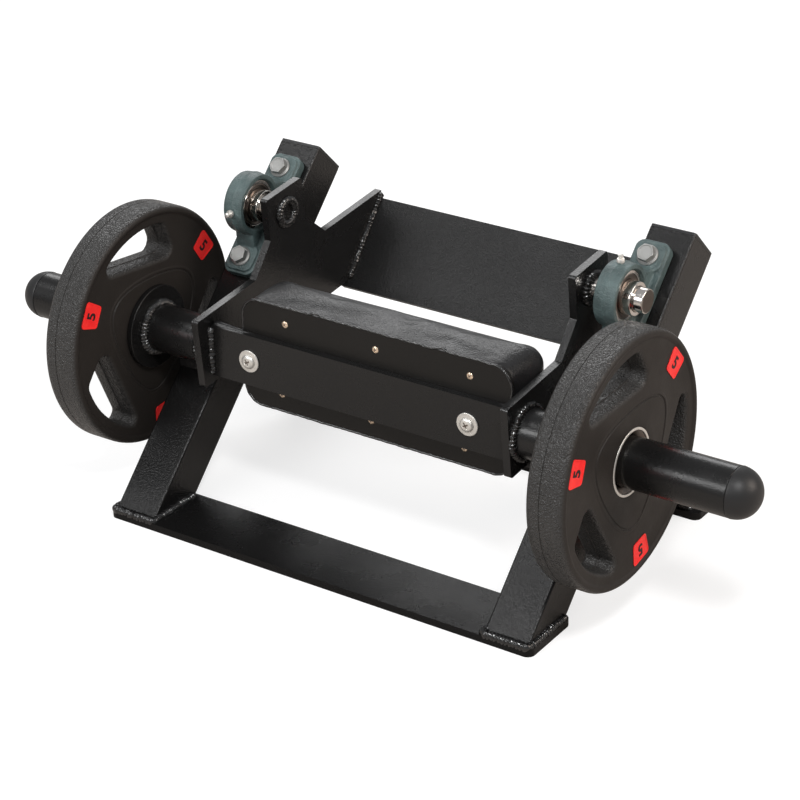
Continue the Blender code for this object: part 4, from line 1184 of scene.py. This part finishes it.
def ring_bead(name, frame, radius, height, thickness, seed, lumpy=1.0):
    """A bead round local Z, at a radius and a height, in the corner below it."""
    path = [frame @ Vector((x, y, height)) for x, y in circle(radius, 90)]
    turned = frame.to_3x3()
    crests = [turned @ Vector((x, y, 0.8)) for x, y in circle(1.0, 90)]
    return bead(name, path, crests, thickness, True, seed=seed, lumpy=lumpy)


# %% Welds of the stand
def rounded_path(points, radius):
    """A level path whose corners are rounded."""
    flat = rounded([point[:2] for point in points], [radius] * len(points), 4, closed=False)
    return [Vector((x, y, points[0][2])) for x, y in flat]


def outwards(path, middle):
    """The directions in which a bead round a foot stands out."""
    return [Vector((point.x - middle[0], (point.y - middle[1]) * 0.8, 0.035)) for point in path]


def foot_weld(name, x, start, far, middle, radius, **settings):
    """A bead round three sides of a tube's foot, from start round the far side and back again."""
    low = FLOOR_THICKNESS + 0.0002
    left, right = x - HALF, x + HALF
    corners = [(left, start, low), (left, far, low), (right, far, low), (right, start, low)]
    path = rounded_path(corners, FOOT_CORNER)
    mesh = bead(name, path, outwards(path, (x, middle)), radius, **settings)
    add_piece(mesh, "stand", WELD_COAT)


HALF = TUBE_SIDE / 2
FOOT_CORNER = 0.003
SLANTING_SIDE = TUBE_SIDE / math.cos(LEAN)
STRUT_FOOT_Y = POST_Y + STRUT_AT / math.cos(LEAN)
for side, sign in SIDES:
    x = sign * POST_X
    back = POST_Y + SLANTING_SIDE
    middle = (POST_Y + back) / 2
    foot_weld(f"foot_weld_{side}", x, back - 0.004, POST_Y, middle, 0.0042, pitch=0.0040, seed=3 + sign)
    back = STRUT_FOOT_Y + SLANTING_SIDE
    middle = (STRUT_FOOT_Y + back) / 2
    foot_weld(f"strut_foot_weld_{side}", x, STRUT_FOOT_Y + 0.002, back, middle, 0.0038, seed=9 + sign)
    foot = post_frame(sign)
    square = foot.to_3x3()
    welds = []
    for level, tilt in ((STRUT_AT, -1), (STRUT_AT + TUBE_SIDE, 1)):
        ends = [foot @ Vector((across, level, -TUBE_SIDE)) for across in (-HALF, HALF)]
        welds.append(seam("seam", *ends, square @ Vector((0, tilt, -1)), 0.0040, seed=20 + tilt))
    for edge in (-HALF, HALF):
        levels = (STRUT_AT + 0.002, STRUT_AT + TUBE_SIDE - 0.002)
        ends = [foot @ Vector((edge * 0.975, level, -TUBE_SIDE)) for level in levels]
        welds.append(seam("seam", *ends, square @ Vector((edge, 0, 0)), 0.0024, seed=25))
    add_piece(joined(f"strut_top_weld_{side}", welds), "stand", WELD_COAT)
print("stand welds:", 3 * len(SIDES))


# %% Welds of the lever
# Length and radius of the smear of weld along the front bar's top edge
BAR_TOP_WELD = {"left": (0.072, 0.0056), "right": (0.030, 0.0044)}
for side, sign in SIDES:
    turning = SWING @ outboard(sign)
    inner_face = turning @ shift(z=ARM_INNER) @ turn(math.pi, "X")
    inner = ring_bead("inner", inner_face, 0.0126, 0.0004, 0.0046, 31, 0.5)
    outer = ring_bead("outer", turning @ shift(z=ARM_OUTER), 0.0130, 0.0004, 0.0050, 32)
    add_piece(joined(f"shaft_weld_{side}", [inner, outer]), "lever", WELD_COAT)
    level = LOAD @ outboard(sign)
    root = ring_bead("root", level @ shift(z=ARM_OUTER), LOAD_RADIUS, 0.0006, 0.0046, 33)
    behind_disc = level @ shift(z=DISC_BACK) @ turn(math.pi, "X")
    shoulder = ring_bead("shoulder", behind_disc, LOAD_RADIUS, 0.0006, 0.0050, 34)
    add_piece(joined(f"load_tube_weld_{side}", [root, shoulder]), "lever", WELD_COAT)

    welds = []
    for face, depth in ((-1, 0.0045), (1, 0.0035)):
        ends = [BAR @ Vector((sign * ARM_INNER, face * BAR_HALF, level)) for level in (-0.0262, 0.0262)]
        welds.append(seam("bar_end", *ends, Vector((-sign, face, 0)), depth, pitch=0.0042, seed=40 + face))
    add_piece(joined(f"bar_weld_{side}", welds), "lever", WELD_COAT)

    length, swell = BAR_TOP_WELD[side]
    ends = [BAR @ Vector((sign * (ARM_INNER - along), 0.0030, 0.0256)) for along in (0.0, length)]
    crest = Vector((0, -0.3, 1))
    mesh = seam("bar_top", *ends, crest, swell, pitch=0.030, seed=47, narrows=0.15, lumpy=0.15)
    add_piece(joined(f"bar_top_weld_{side}", [mesh]), "lever", ARM_COAT)

    ends = [HEEL_CORNER @ Vector((sign * ARM_INNER, 0.0, level)) for level in (0.002, 0.104)]
    crest = HEEL_CORNER.to_3x3() @ Vector((-sign, -1, 0))
    mesh = seam(f"heel_plate_weld_{side}", *ends, crest, 0.0042, pitch=0.0038, seed=50 + sign)
    add_piece(mesh, "lever", WELD_COAT)
print("lever welds:", 5 * len(SIDES))

# %% [markdown]
# ## Weight plates
#
# Each plate is rubber moulded round iron, with three grip slots whose edges are broadly rounded for the
# hand. Its face has a raised hub with a soft three-cornered outline and a fine seam inside that. The
# outline of the face is a flat drawing, so it is filled with a constrained triangulation: loops round the
# slots, the hub and the seam are its fixed lines, and each loop carries its own height. The rim and the
# bore are rings joined to it.

# %% Outlines of the slots and the hub
PLATE_X = 0.2832
PLATE_SAG = 0.0004
PLATE_TURN = {"left": math.radians(-8), "right": 0.0}
FACE = 0.0178
HUB_FACE = 0.0184
RIM = 0.1168
SEAT = 0.0352
SLOT_FAR = 0.1070
# The round along a slot's edge, across the face and into it
LIP = 0.0054
LIP_DEPTH = 0.0068
SLOT_FACINGS = [math.radians(91 + 120 * number) for number in range(3)]
LABEL_FACINGS = [math.radians(41.5 + 120 * number) for number in range(3)]


def slot_loop(facing, grow):
    """A grip slot's outline, moved out by grow: a straight side near the hub, an arc near the rim."""
    near, far = 0.0700 - grow, SLOT_FAR + grow * 0.85
    toe_turn = math.radians(43) + grow / SLOT_FAR
    heel_turn = math.radians(7) + grow / SLOT_FAR
    turns = [-heel_turn + (toe_turn + heel_turn) * step / 12 for step in range(13)]
    arc = [(far * math.cos(angle), -far * math.sin(angle)) for angle in turns]
    corners = [(near, 0.034 + grow), *arc, (near, -0.069 - grow)]
    heel, toe = 0.009 + grow, 0.005 + grow
    radii = [heel, heel * 0.9] + [0.0] * 11 + [toe * 0.9, toe]
    outline = rounded(corners, radii, steps=6)
    sine, cosine = math.sin(facing), math.cos(facing)
    return [(out * cosine + along * sine, out * sine - along * cosine) for out, along in outline]


# How far each line lies outside the hub's outline, with its share of the hub's rise or its depth
HUB_STEP = ((0.0018, 1.0), (0.0026, 1.0), (0.0032, 0.85), (0.0038, 0.5), (0.0044, 0.15), (0.0050, 0.0))
HUB_GROOVE = ((-0.0016, 0.0), (-0.0009, 0.0011), (0.0006, 0.0011), (0.0014, 0.0))
LIP_BENDS = (0, 12, 24, 36, 48, 60, 72, 82, 90)
BORE_SIDES, RIM_SIDES = 72, 200
CORNER_FACING = math.radians(34.5)
# Degrees away from a corner, and the radius there
HUB_SIDE = ((60, 0.0540), (48, 0.0546), (36, 0.0574), (25, 0.0618), (15, 0.0664), (5, 0.0714), (0, 0.0724))


def hub_radius(angle):
    """The hub's outline has three alike corners, and each side is a smooth bow between two of them."""
    away = abs(math.degrees(angle - CORNER_FACING) % 120)
    away = min(away, 120 - away)
    for (far, low), (near, high) in zip(HUB_SIDE, HUB_SIDE[1:]):
        if away >= near:
            return low + (high - low) * (far - away) / (far - near)
    return HUB_SIDE[-1][1]


def three_cornered(change, steps=180):
    """The hub's outline moved out by change, with its radius averaged over a few degrees."""
    outline = []
    for step in range(steps):
        angle = 2 * math.pi * step / steps
        spread = [math.radians(offset) for offset in (-9, -6, -3, 0, 3, 6, 9)]
        radius = sum(hub_radius(angle + offset) for offset in spread) / len(spread) + change
        outline.append((radius * math.cos(angle), radius * math.sin(angle)))
    return outline


def face_loops():
    """Every fixed line of a plate's face, with its height over the plate's middle."""
    loops = [(circle(SEAT, BORE_SIDES), HUB_FACE), (circle(RIM, RIM_SIDES), FACE)]
    for change, rise in HUB_STEP:
        loops.append((three_cornered(change), FACE + rise * (HUB_FACE - FACE)))
    for change, depth in HUB_GROOVE:
        loops.append((three_cornered(change), HUB_FACE - depth))
    for facing in SLOT_FACINGS:
        for bend in LIP_BENDS:
            angle = math.radians(bend)
            grow, drop = LIP * (1 - math.sin(angle)), LIP_DEPTH * (1 - math.cos(angle))
            loops.append((slot_loop(facing, grow), FACE - drop))
    return loops


print("loops on a face:", len(face_loops()))


# %% The rubber of a weight plate
def inside(point, outline):
    x, y = point
    crossings = 0
    for (x0, y0), (x1, y1) in zip(outline, outline[1:] + outline[:1]):
        if (y0 > y) != (y1 > y) and x < x0 + (y - y0) * (x1 - x0) / (y1 - y0):
            crossings += 1
    return crossings % 2 == 1


def face_surface():
    """Points, heights and triangles of one face, open at the slots and the bore."""
    points, heights, lines = [], [], []
    for loop, height in face_loops():
        first = len(points)
        points += [Vector(point) for point in loop]
        heights += [height] * len(loop)
        lines += [(first + k, first + (k + 1) % len(loop)) for k in range(len(loop))]
    near_slots = [slot_loop(facing, LIP + 0.0015) for facing in SLOT_FACINGS]
    for radius, count, height in ((0.042, 48, HUB_FACE), (0.085, 96, FACE), (0.098, 96, FACE)):
        for point in circle(radius, count):
            if not any(inside(point, near_slot) for near_slot in near_slots):
                points.append(Vector(point))
                heights.append(height)
    spots, _, triangles, sources, _, _ = geometry.delaunay_2d_cdt(points, lines, [], 0, 1e-7)
    openings = [slot_loop(facing, -0.00001) for facing in SLOT_FACINGS]
    openings.append(circle(SEAT - 0.00001, BORE_SIDES))
    kept = []
    for triangle in triangles:
        middle = sum((spots[k] for k in triangle), Vector((0, 0))) / 3
        if middle.length < RIM and not any(inside(middle, opening) for opening in openings):
            kept.append(triangle)
    level = [heights[source[0]] if source else FACE for source in sources]
    return spots, level, kept


# Radius, height and grain from the raised rim to the mould line in the middle of the tread
RIM_PROFILE = (
    (RIM, FACE, 0.0),
    (0.1176, 0.0180, 0.0),
    (0.1186, 0.0188, 0.0),
    (0.1196, 0.0196, 0.0),
    (0.1206, 0.0200, 0.0),
    (0.1216, 0.0201, 0.0),
    (0.1227, 0.0199, 0.0),
    (0.1237, 0.0195, 0.1),
    (0.1246, 0.0188, 0.4),
    (0.1253, 0.0179, 0.7),
    (0.1259, 0.0168, 0.9),
    (0.1264, 0.0155, 1.0),
    (0.1267, 0.0140, 1.0),
    (0.1268, 0.0124, 1.0),
    (0.1268, 0.0060, 1.0),
    (0.1268, -0.0044, 1.0),
    (0.1265, -0.0047, 0.4),
    (0.1265, -0.0051, 0.4),
    (0.1268, -0.0054, 1.0),
)
BORE_PROFILE = ((SEAT, HUB_FACE, 0.0), (0.0345, 0.0182, 0.0), (0.0340, 0.0177, 0.0))
# The same for a slot's wall, with how far it lies outside the slot's outline in place of a radius
SLOT_WALL = (
    (0.0, FACE - LIP_DEPTH, 0.85),
    (-0.0002, 0.0070, 0.8),
    (-0.0003, 0.0012, 0.8),
    (-0.0010, 0.0008, 0.5),
    (-0.0011, 0.0, 0.5),
)


def mirrored(rows, count):
    """The rows, and after them the first count of them in reverse, for the other face."""
    return [*rows, *((size, -height, grainy) for size, height, grainy in reversed(rows[:count]))]


def rubber_plate(side, sign):
    spots, level, triangles = face_surface()

    def build(shape):
        grain = shape.verts.layers.float.new("grain")

        def grainy_ring(outline, height, grainy):
            ring = ring_of(shape, outline, height)
            for vert in ring:
                vert[grain] = grainy
            return ring

        def band(outline_at, rows):
            bridge(shape, [grainy_ring(outline_at(size), height, grainy) for size, height, grainy in rows])

        for mirror in (1, -1):
            corners = [shape.verts.new((x, y, mirror * height)) for (x, y), height in zip(spots, level)]
            for vert, height in zip(corners, level):
                vert[grain] = 0.85 * min(1.0, max(0.0, FACE - height) / 0.0025)
            for triangle in triangles:
                shape.faces.new([corners[k] for k in triangle])
        band(lambda radius: circle(radius, RIM_SIDES), mirrored(RIM_PROFILE, 14))
        band(lambda radius: circle(radius, BORE_SIDES), mirrored(BORE_PROFILE, 3))
        for facing in SLOT_FACINGS:
            band(lambda grow: slot_loop(facing, grow), mirrored(SLOT_WALL, 4))
        bmesh.ops.remove_doubles(shape, verts=shape.verts, dist=2e-6)

    place = LOAD @ shift(x=sign * PLATE_X, z=-PLATE_SAG) @ turn(PLATE_TURN[side], "X") @ ALONG_X
    mesh = mesh_from(f"rubber_plate_{side}", build, place)
    return add_piece(mesh, f"{side}_weight", RUBBER, [f"weight_plate_{side}"], sharp=35)


for side, sign in SIDES:
    piece = rubber_plate(side, sign)
    edges = bmesh.new()
    edges.from_mesh(piece.data)
    open_edges = sum(1 for edge in edges.edges if not edge.is_manifold)
    edges.free()
    print(piece.name, "faces:", len(piece.data.polygons), "open edges:", open_edges)

# %% [markdown]
# A steel ring lines the bore. It stands nearly 3 mm wide at the face, a bright line round the load tube,
# and the dark sleeve inside it opens with a wide chamfer. Round the rim sit three red labels with a plain
# number, on both faces. A label is a thin raised pad with rounded corners and a lip, and the number is a
# text curve turned to a mesh.


# %% Steel rings and numbers
def label_outline(inset=0.0):
    """A label seen from the front: its outer side is longer than the side near the hub."""
    outer, inner, reach = 0.0145 - inset, 0.0115 - inset, 0.0120 - inset
    corners = [(-inner, -reach), (inner, -reach), (outer, reach), (-outer, reach)]
    return rounded(corners, [0.0035 - inset / 2] * 4, 4)


def number_mesh(text, size, depth):
    curve = bpy.data.curves.new("number", "FONT")
    curve.body = text
    curve.size = size
    curve.align_x = "CENTER"
    curve.align_y = "CENTER"
    curve.extrude = depth / 2
    curve.offset = 0.0004
    curve.resolution_u = 6
    mesh = evaluated(loose("number_work", curve))
    bpy.data.curves.remove(curve)
    return mesh


LABEL_AT = 0.1045
LABEL_BACK = FACE - 0.0010
LABEL_FRONT = FACE + 0.0004
LIP_FRONT = FACE + 0.0007
LABEL_LIP = 0.0012
NUMBER_SIZE = 0.0170
NUMBER_DEPTH = 0.0006
for side, sign in SIDES:
    middle = LOAD @ shift(x=sign * PLATE_X, z=-PLATE_SAG)
    profile = [(0.0337, HUB_FACE), (0.0337, -HUB_FACE), (0.0310, -HUB_FACE), (0.0310, HUB_FACE)]
    mesh = lathe(f"bore_ring_{side}", profile, middle @ ALONG_X, 96, True, [0.0005] * 4, 3)
    add_piece(mesh, f"{side}_weight", ZINC, [f"plate_ring_{side}"], flat=True)
    profile = [(0.0309, 0.0176), (0.0309, -0.0176), (0.0255, -0.0134), (0.0255, 0.0134)]
    mesh = lathe(f"bore_sleeve_{side}", profile, middle @ ALONG_X, 96, True, [0.0005] * 4, 3)
    add_piece(mesh, f"{side}_weight", PRESSED_STEEL_AND_SHADE, flat=True)
    bases, numbers = [], []
    for face in (-1, 1):
        for facing in LABEL_FACINGS:
            turned_plate = middle @ turn(PLATE_TURN[side], "X") @ ALONG_X
            seat = turned_plate @ turn(facing - math.pi / 2, "Z") @ shift(y=LABEL_AT)
            if face < 0:
                seat = seat @ turn(math.pi, "Y")
            bases.append(prism("label", label_outline(), LABEL_BACK, LABEL_FRONT, seat, edge=0.0003))
            lip = prism("lip", label_outline(), LABEL_BACK, LIP_FRONT, seat)
            within_lip = prism("lip", label_outline(LABEL_LIP), LABEL_BACK, LIP_FRONT, seat)
            bases.append(carved(lip, within_lip))
            number = number_mesh("5", NUMBER_SIZE, NUMBER_DEPTH)
            number.transform(seat @ shift(z=FACE + 0.0005))
            numbers.append(number)
    mesh = joined(f"label_pads_{side}", bases)
    add_piece(mesh, f"{side}_weight", LABEL_RED, sharp=30)
    mesh = joined(f"label_numbers_{side}", numbers)
    add_piece(mesh, f"{side}_weight", LABEL_BLACK, sharp=30)
print("labels:", 12)

# %% [markdown]
# ## The pad
#
# The pad is a board with a foam cushion, under leatherette that is drawn over the board's edge and fixed
# behind a thin cover with brass screws. The cushion starts a little small and a cloth simulation blows it
# up, so that its sides swell and draw in towards the corners as stuffed leatherette does. The seam along
# the board is a piece of its own, because the remesh before the simulation would erase it.

# %% Board cover, seam and brass screws
PAD_MIDDLE = BAR @ shift(x=0.0155, z=0.0072)
PAD_LENGTH = 0.321
PAD_HEIGHT = 0.120
PAD_CORNER = 0.0200
BOARD_FRONT = -0.0043
PUCKERS = (-0.068, 0.079)
outline = rectangle(PAD_LENGTH - 0.0050, PAD_HEIGHT - 0.0050, PAD_CORNER, steps=10)
board = prism("pad_board_cover", outline, -0.0163, BOARD_FRONT, PAD_MIDDLE @ FORWARD, edge=0.0008, segments=4)
add_piece(board, "lever", BOARD_COVER, ["pad_board"], flat=True)


def seam_path(inset, level, ripple, first=0, last=None):
    """The board's outline, rippled as stretched leatherette is, with two puckers along its top."""
    path = []
    outline = rectangle(PAD_LENGTH - 2 * inset, PAD_HEIGHT - 2 * inset, PAD_CORNER, 10)
    even = resampled([(x, y, 0) for x, y in outline], [(0, 0, 1)] * len(outline), 0.002, True)
    for point, _, _ in even[first:last]:
        out = Vector((point.x * 0.35, point.y, 0)).normalized()
        push = ripple * noise.noise(point * 70)
        for pucker in PUCKERS:
            if point.y > 0:
                push += 0.0016 * math.exp(-(((point.x - pucker) / 0.006) ** 2))
        path.append(PAD_MIDDLE @ FORWARD @ (point + out * push + Vector((0, 0, level - 0.6 * push))))
    return path


middle = PAD_MIDDLE.translation
path = seam_path(0.0019, -0.0048, 0.0009)
crests = [(point - middle).normalized() - Vector((0, 0.6, 0)) for point in path]
seams = [bead("seam_roll", path, crests, 0.0013, True, pitch=0.0085, seed=61, lumpy=0.7)]
path = seam_path(0.0004, -0.0092, 0.0010, -30, -1)
crests = [(point - middle).normalized() for point in path]
seams.append(bead("corner_fold", path, crests, 0.0011, pitch=0.0110, seed=62, lumpy=0.7))
# The seam's lighter black is painted highlight along the edge.
add_piece(joined("pad_seam", seams), "lever", SEAM_HIGHLIGHT)

screws, recess_shades = [], []
SCREWS = ((-0.0395, (-0.1127, -0.0037, 0.1055)), (0.0395, (-0.1055, 0.0035, 0.1125)))
SCREW_RECESS = (0.0026, 0.0012)
SCREW_RISE = 0.0013
# Radius and height over the board
SCREW_HEAD = (
    (0.0, SCREW_RISE),
    (0.0012, 0.00125),
    (0.0025, 0.0010),
    (0.0034, 0.0005),
    (0.0037, 0.0),
    (0.0037, -0.0006),
    (0.0, -0.0006),
)
for row, columns in SCREWS:
    for column in columns:
        seat = PAD_MIDDLE @ shift(x=column, z=row) @ FORWARD @ shift(z=BOARD_FRONT)
        head = lathe("brass_head", SCREW_HEAD, seat, 32)
        recess_frame = seat @ shift(z=SCREW_RISE) @ turn(column * 20, "Z")
        screws.append(carved(head, cross_recess(*SCREW_RECESS, recess_frame)))
        # A dark cross in each recess, as painted shade.
        recess_shades.append(painted_recess_shade("floor", *SCREW_RECESS, recess_frame))
add_piece(joined("brass_screws", screws), "lever", BRASS, sharp=40)
add_piece(joined("brass_recess_painted_shade", recess_shades), "lever", PRESSED_STEEL_AND_SHADE)
print("brass screws:", len(screws))


# %% The cushion
# Depth behind the board's front edge, and how far the long sides and the ends are drawn in there
CUSHION_RINGS = (
    (0.0, 0.0012, 0.0012),
    (0.0020, 0.0004, 0.0004),
    (0.0114, 0.0002, 0.0002),
    (0.0152, 0.0, 0.0),
    (0.0314, 0.0, -0.0018),
    (0.0514, 0.0008, -0.0020),
    (0.0599, 0.0042, 0.0010),
    (0.0644, 0.0100, 0.0065),
    (0.0659, 0.0190, 0.0160),
    (0.0667, 0.0370, 0.0360),
)
STUFFING_FRAMES = 20


def cushion_block(shrink):
    """The foam and the board's sides before stuffing: a rounded rectangle that draws in towards the back."""

    def build(shape):
        loops = []
        for level, sides, ends in CUSHION_RINGS:
            sides, ends = sides + shrink, ends + shrink
            radius = max(0.022 - max(sides, ends), 0.009)
            outline = rectangle(PAD_LENGTH - 2 * ends, PAD_HEIGHT - 2 * sides, radius, steps=8)
            loops.append(ring_of(shape, outline, -level))
        solid(shape, loops)

    return mesh_from("foam", build)


def stuffed(mesh, cap):
    """The mesh blown up as cloth, with no point further than cap from where it began."""
    piece = loose("foam_remesh", mesh)
    remesh = piece.modifiers.new("skin", "REMESH")
    remesh.mode = "VOXEL"
    remesh.voxel_size = 0.0045
    skin = evaluated(piece)
    start = [vert.co.copy() for vert in skin.vertices]
    piece = loose("foam_cloth", skin)
    cloth = piece.modifiers.new("stuffing", "CLOTH")
    cloth.settings.use_pressure = True
    cloth.settings.uniform_pressure_force = 4.0
    cloth.settings.effector_weights.gravity = 0.0
    for step in range(1, STUFFING_FRAMES + 1):
        bpy.context.scene.frame_set(step)
    skin = evaluated(piece)
    bpy.context.scene.frame_set(1)
    for vert, begun in zip(skin.vertices, start):
        moved = vert.co - begun
        if moved.length > cap:
            moved = moved.normalized() * cap
        vert.co = begun + moved
        vert.co.z = min(vert.co.z, 0.0)
    return skin


foam = stuffed(cushion_block(0.0002), 0.0016)
foam.transform(PAD_MIDDLE @ FORWARD @ shift(z=-0.0052))
foam.name = "leatherette_cushion"
cushion = add_piece(foam, "lever", LEATHERETTE, ["pad_cushion"], sharp=60)
rounder = cushion.modifiers.new("even skin", "SUBSURF")
rounder.levels = rounder.render_levels = 1
print("cushion faces:", len(cushion.data.polygons))

# %% [markdown]
# ## What is hidden inside
#
# The iron cores of the weight plates, the ball cages of the bearings and the tee nuts in the board are
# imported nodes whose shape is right, so they stay. They get materials too, for anyone who takes the model
# apart.

# %% Finishes of the hidden pieces
IRON = plain_finish("rough_iron", (0.09, 0.085, 0.08), (0.5, 0.75), 0.012, 0.003, 0.0006, metallic=0.7)
INSIDE = {"plate_core_": IRON, "ball_cage_": STEEL, "pad_tee_nut_": ZINC}
for name, packed in frame["nodes"].items():
    for start, finish in INSIDE.items():
        if name.startswith(start):
            packed.data.materials.clear()
            packed.data.materials.append(finish)
print("hidden finishes:", sorted(INSIDE))
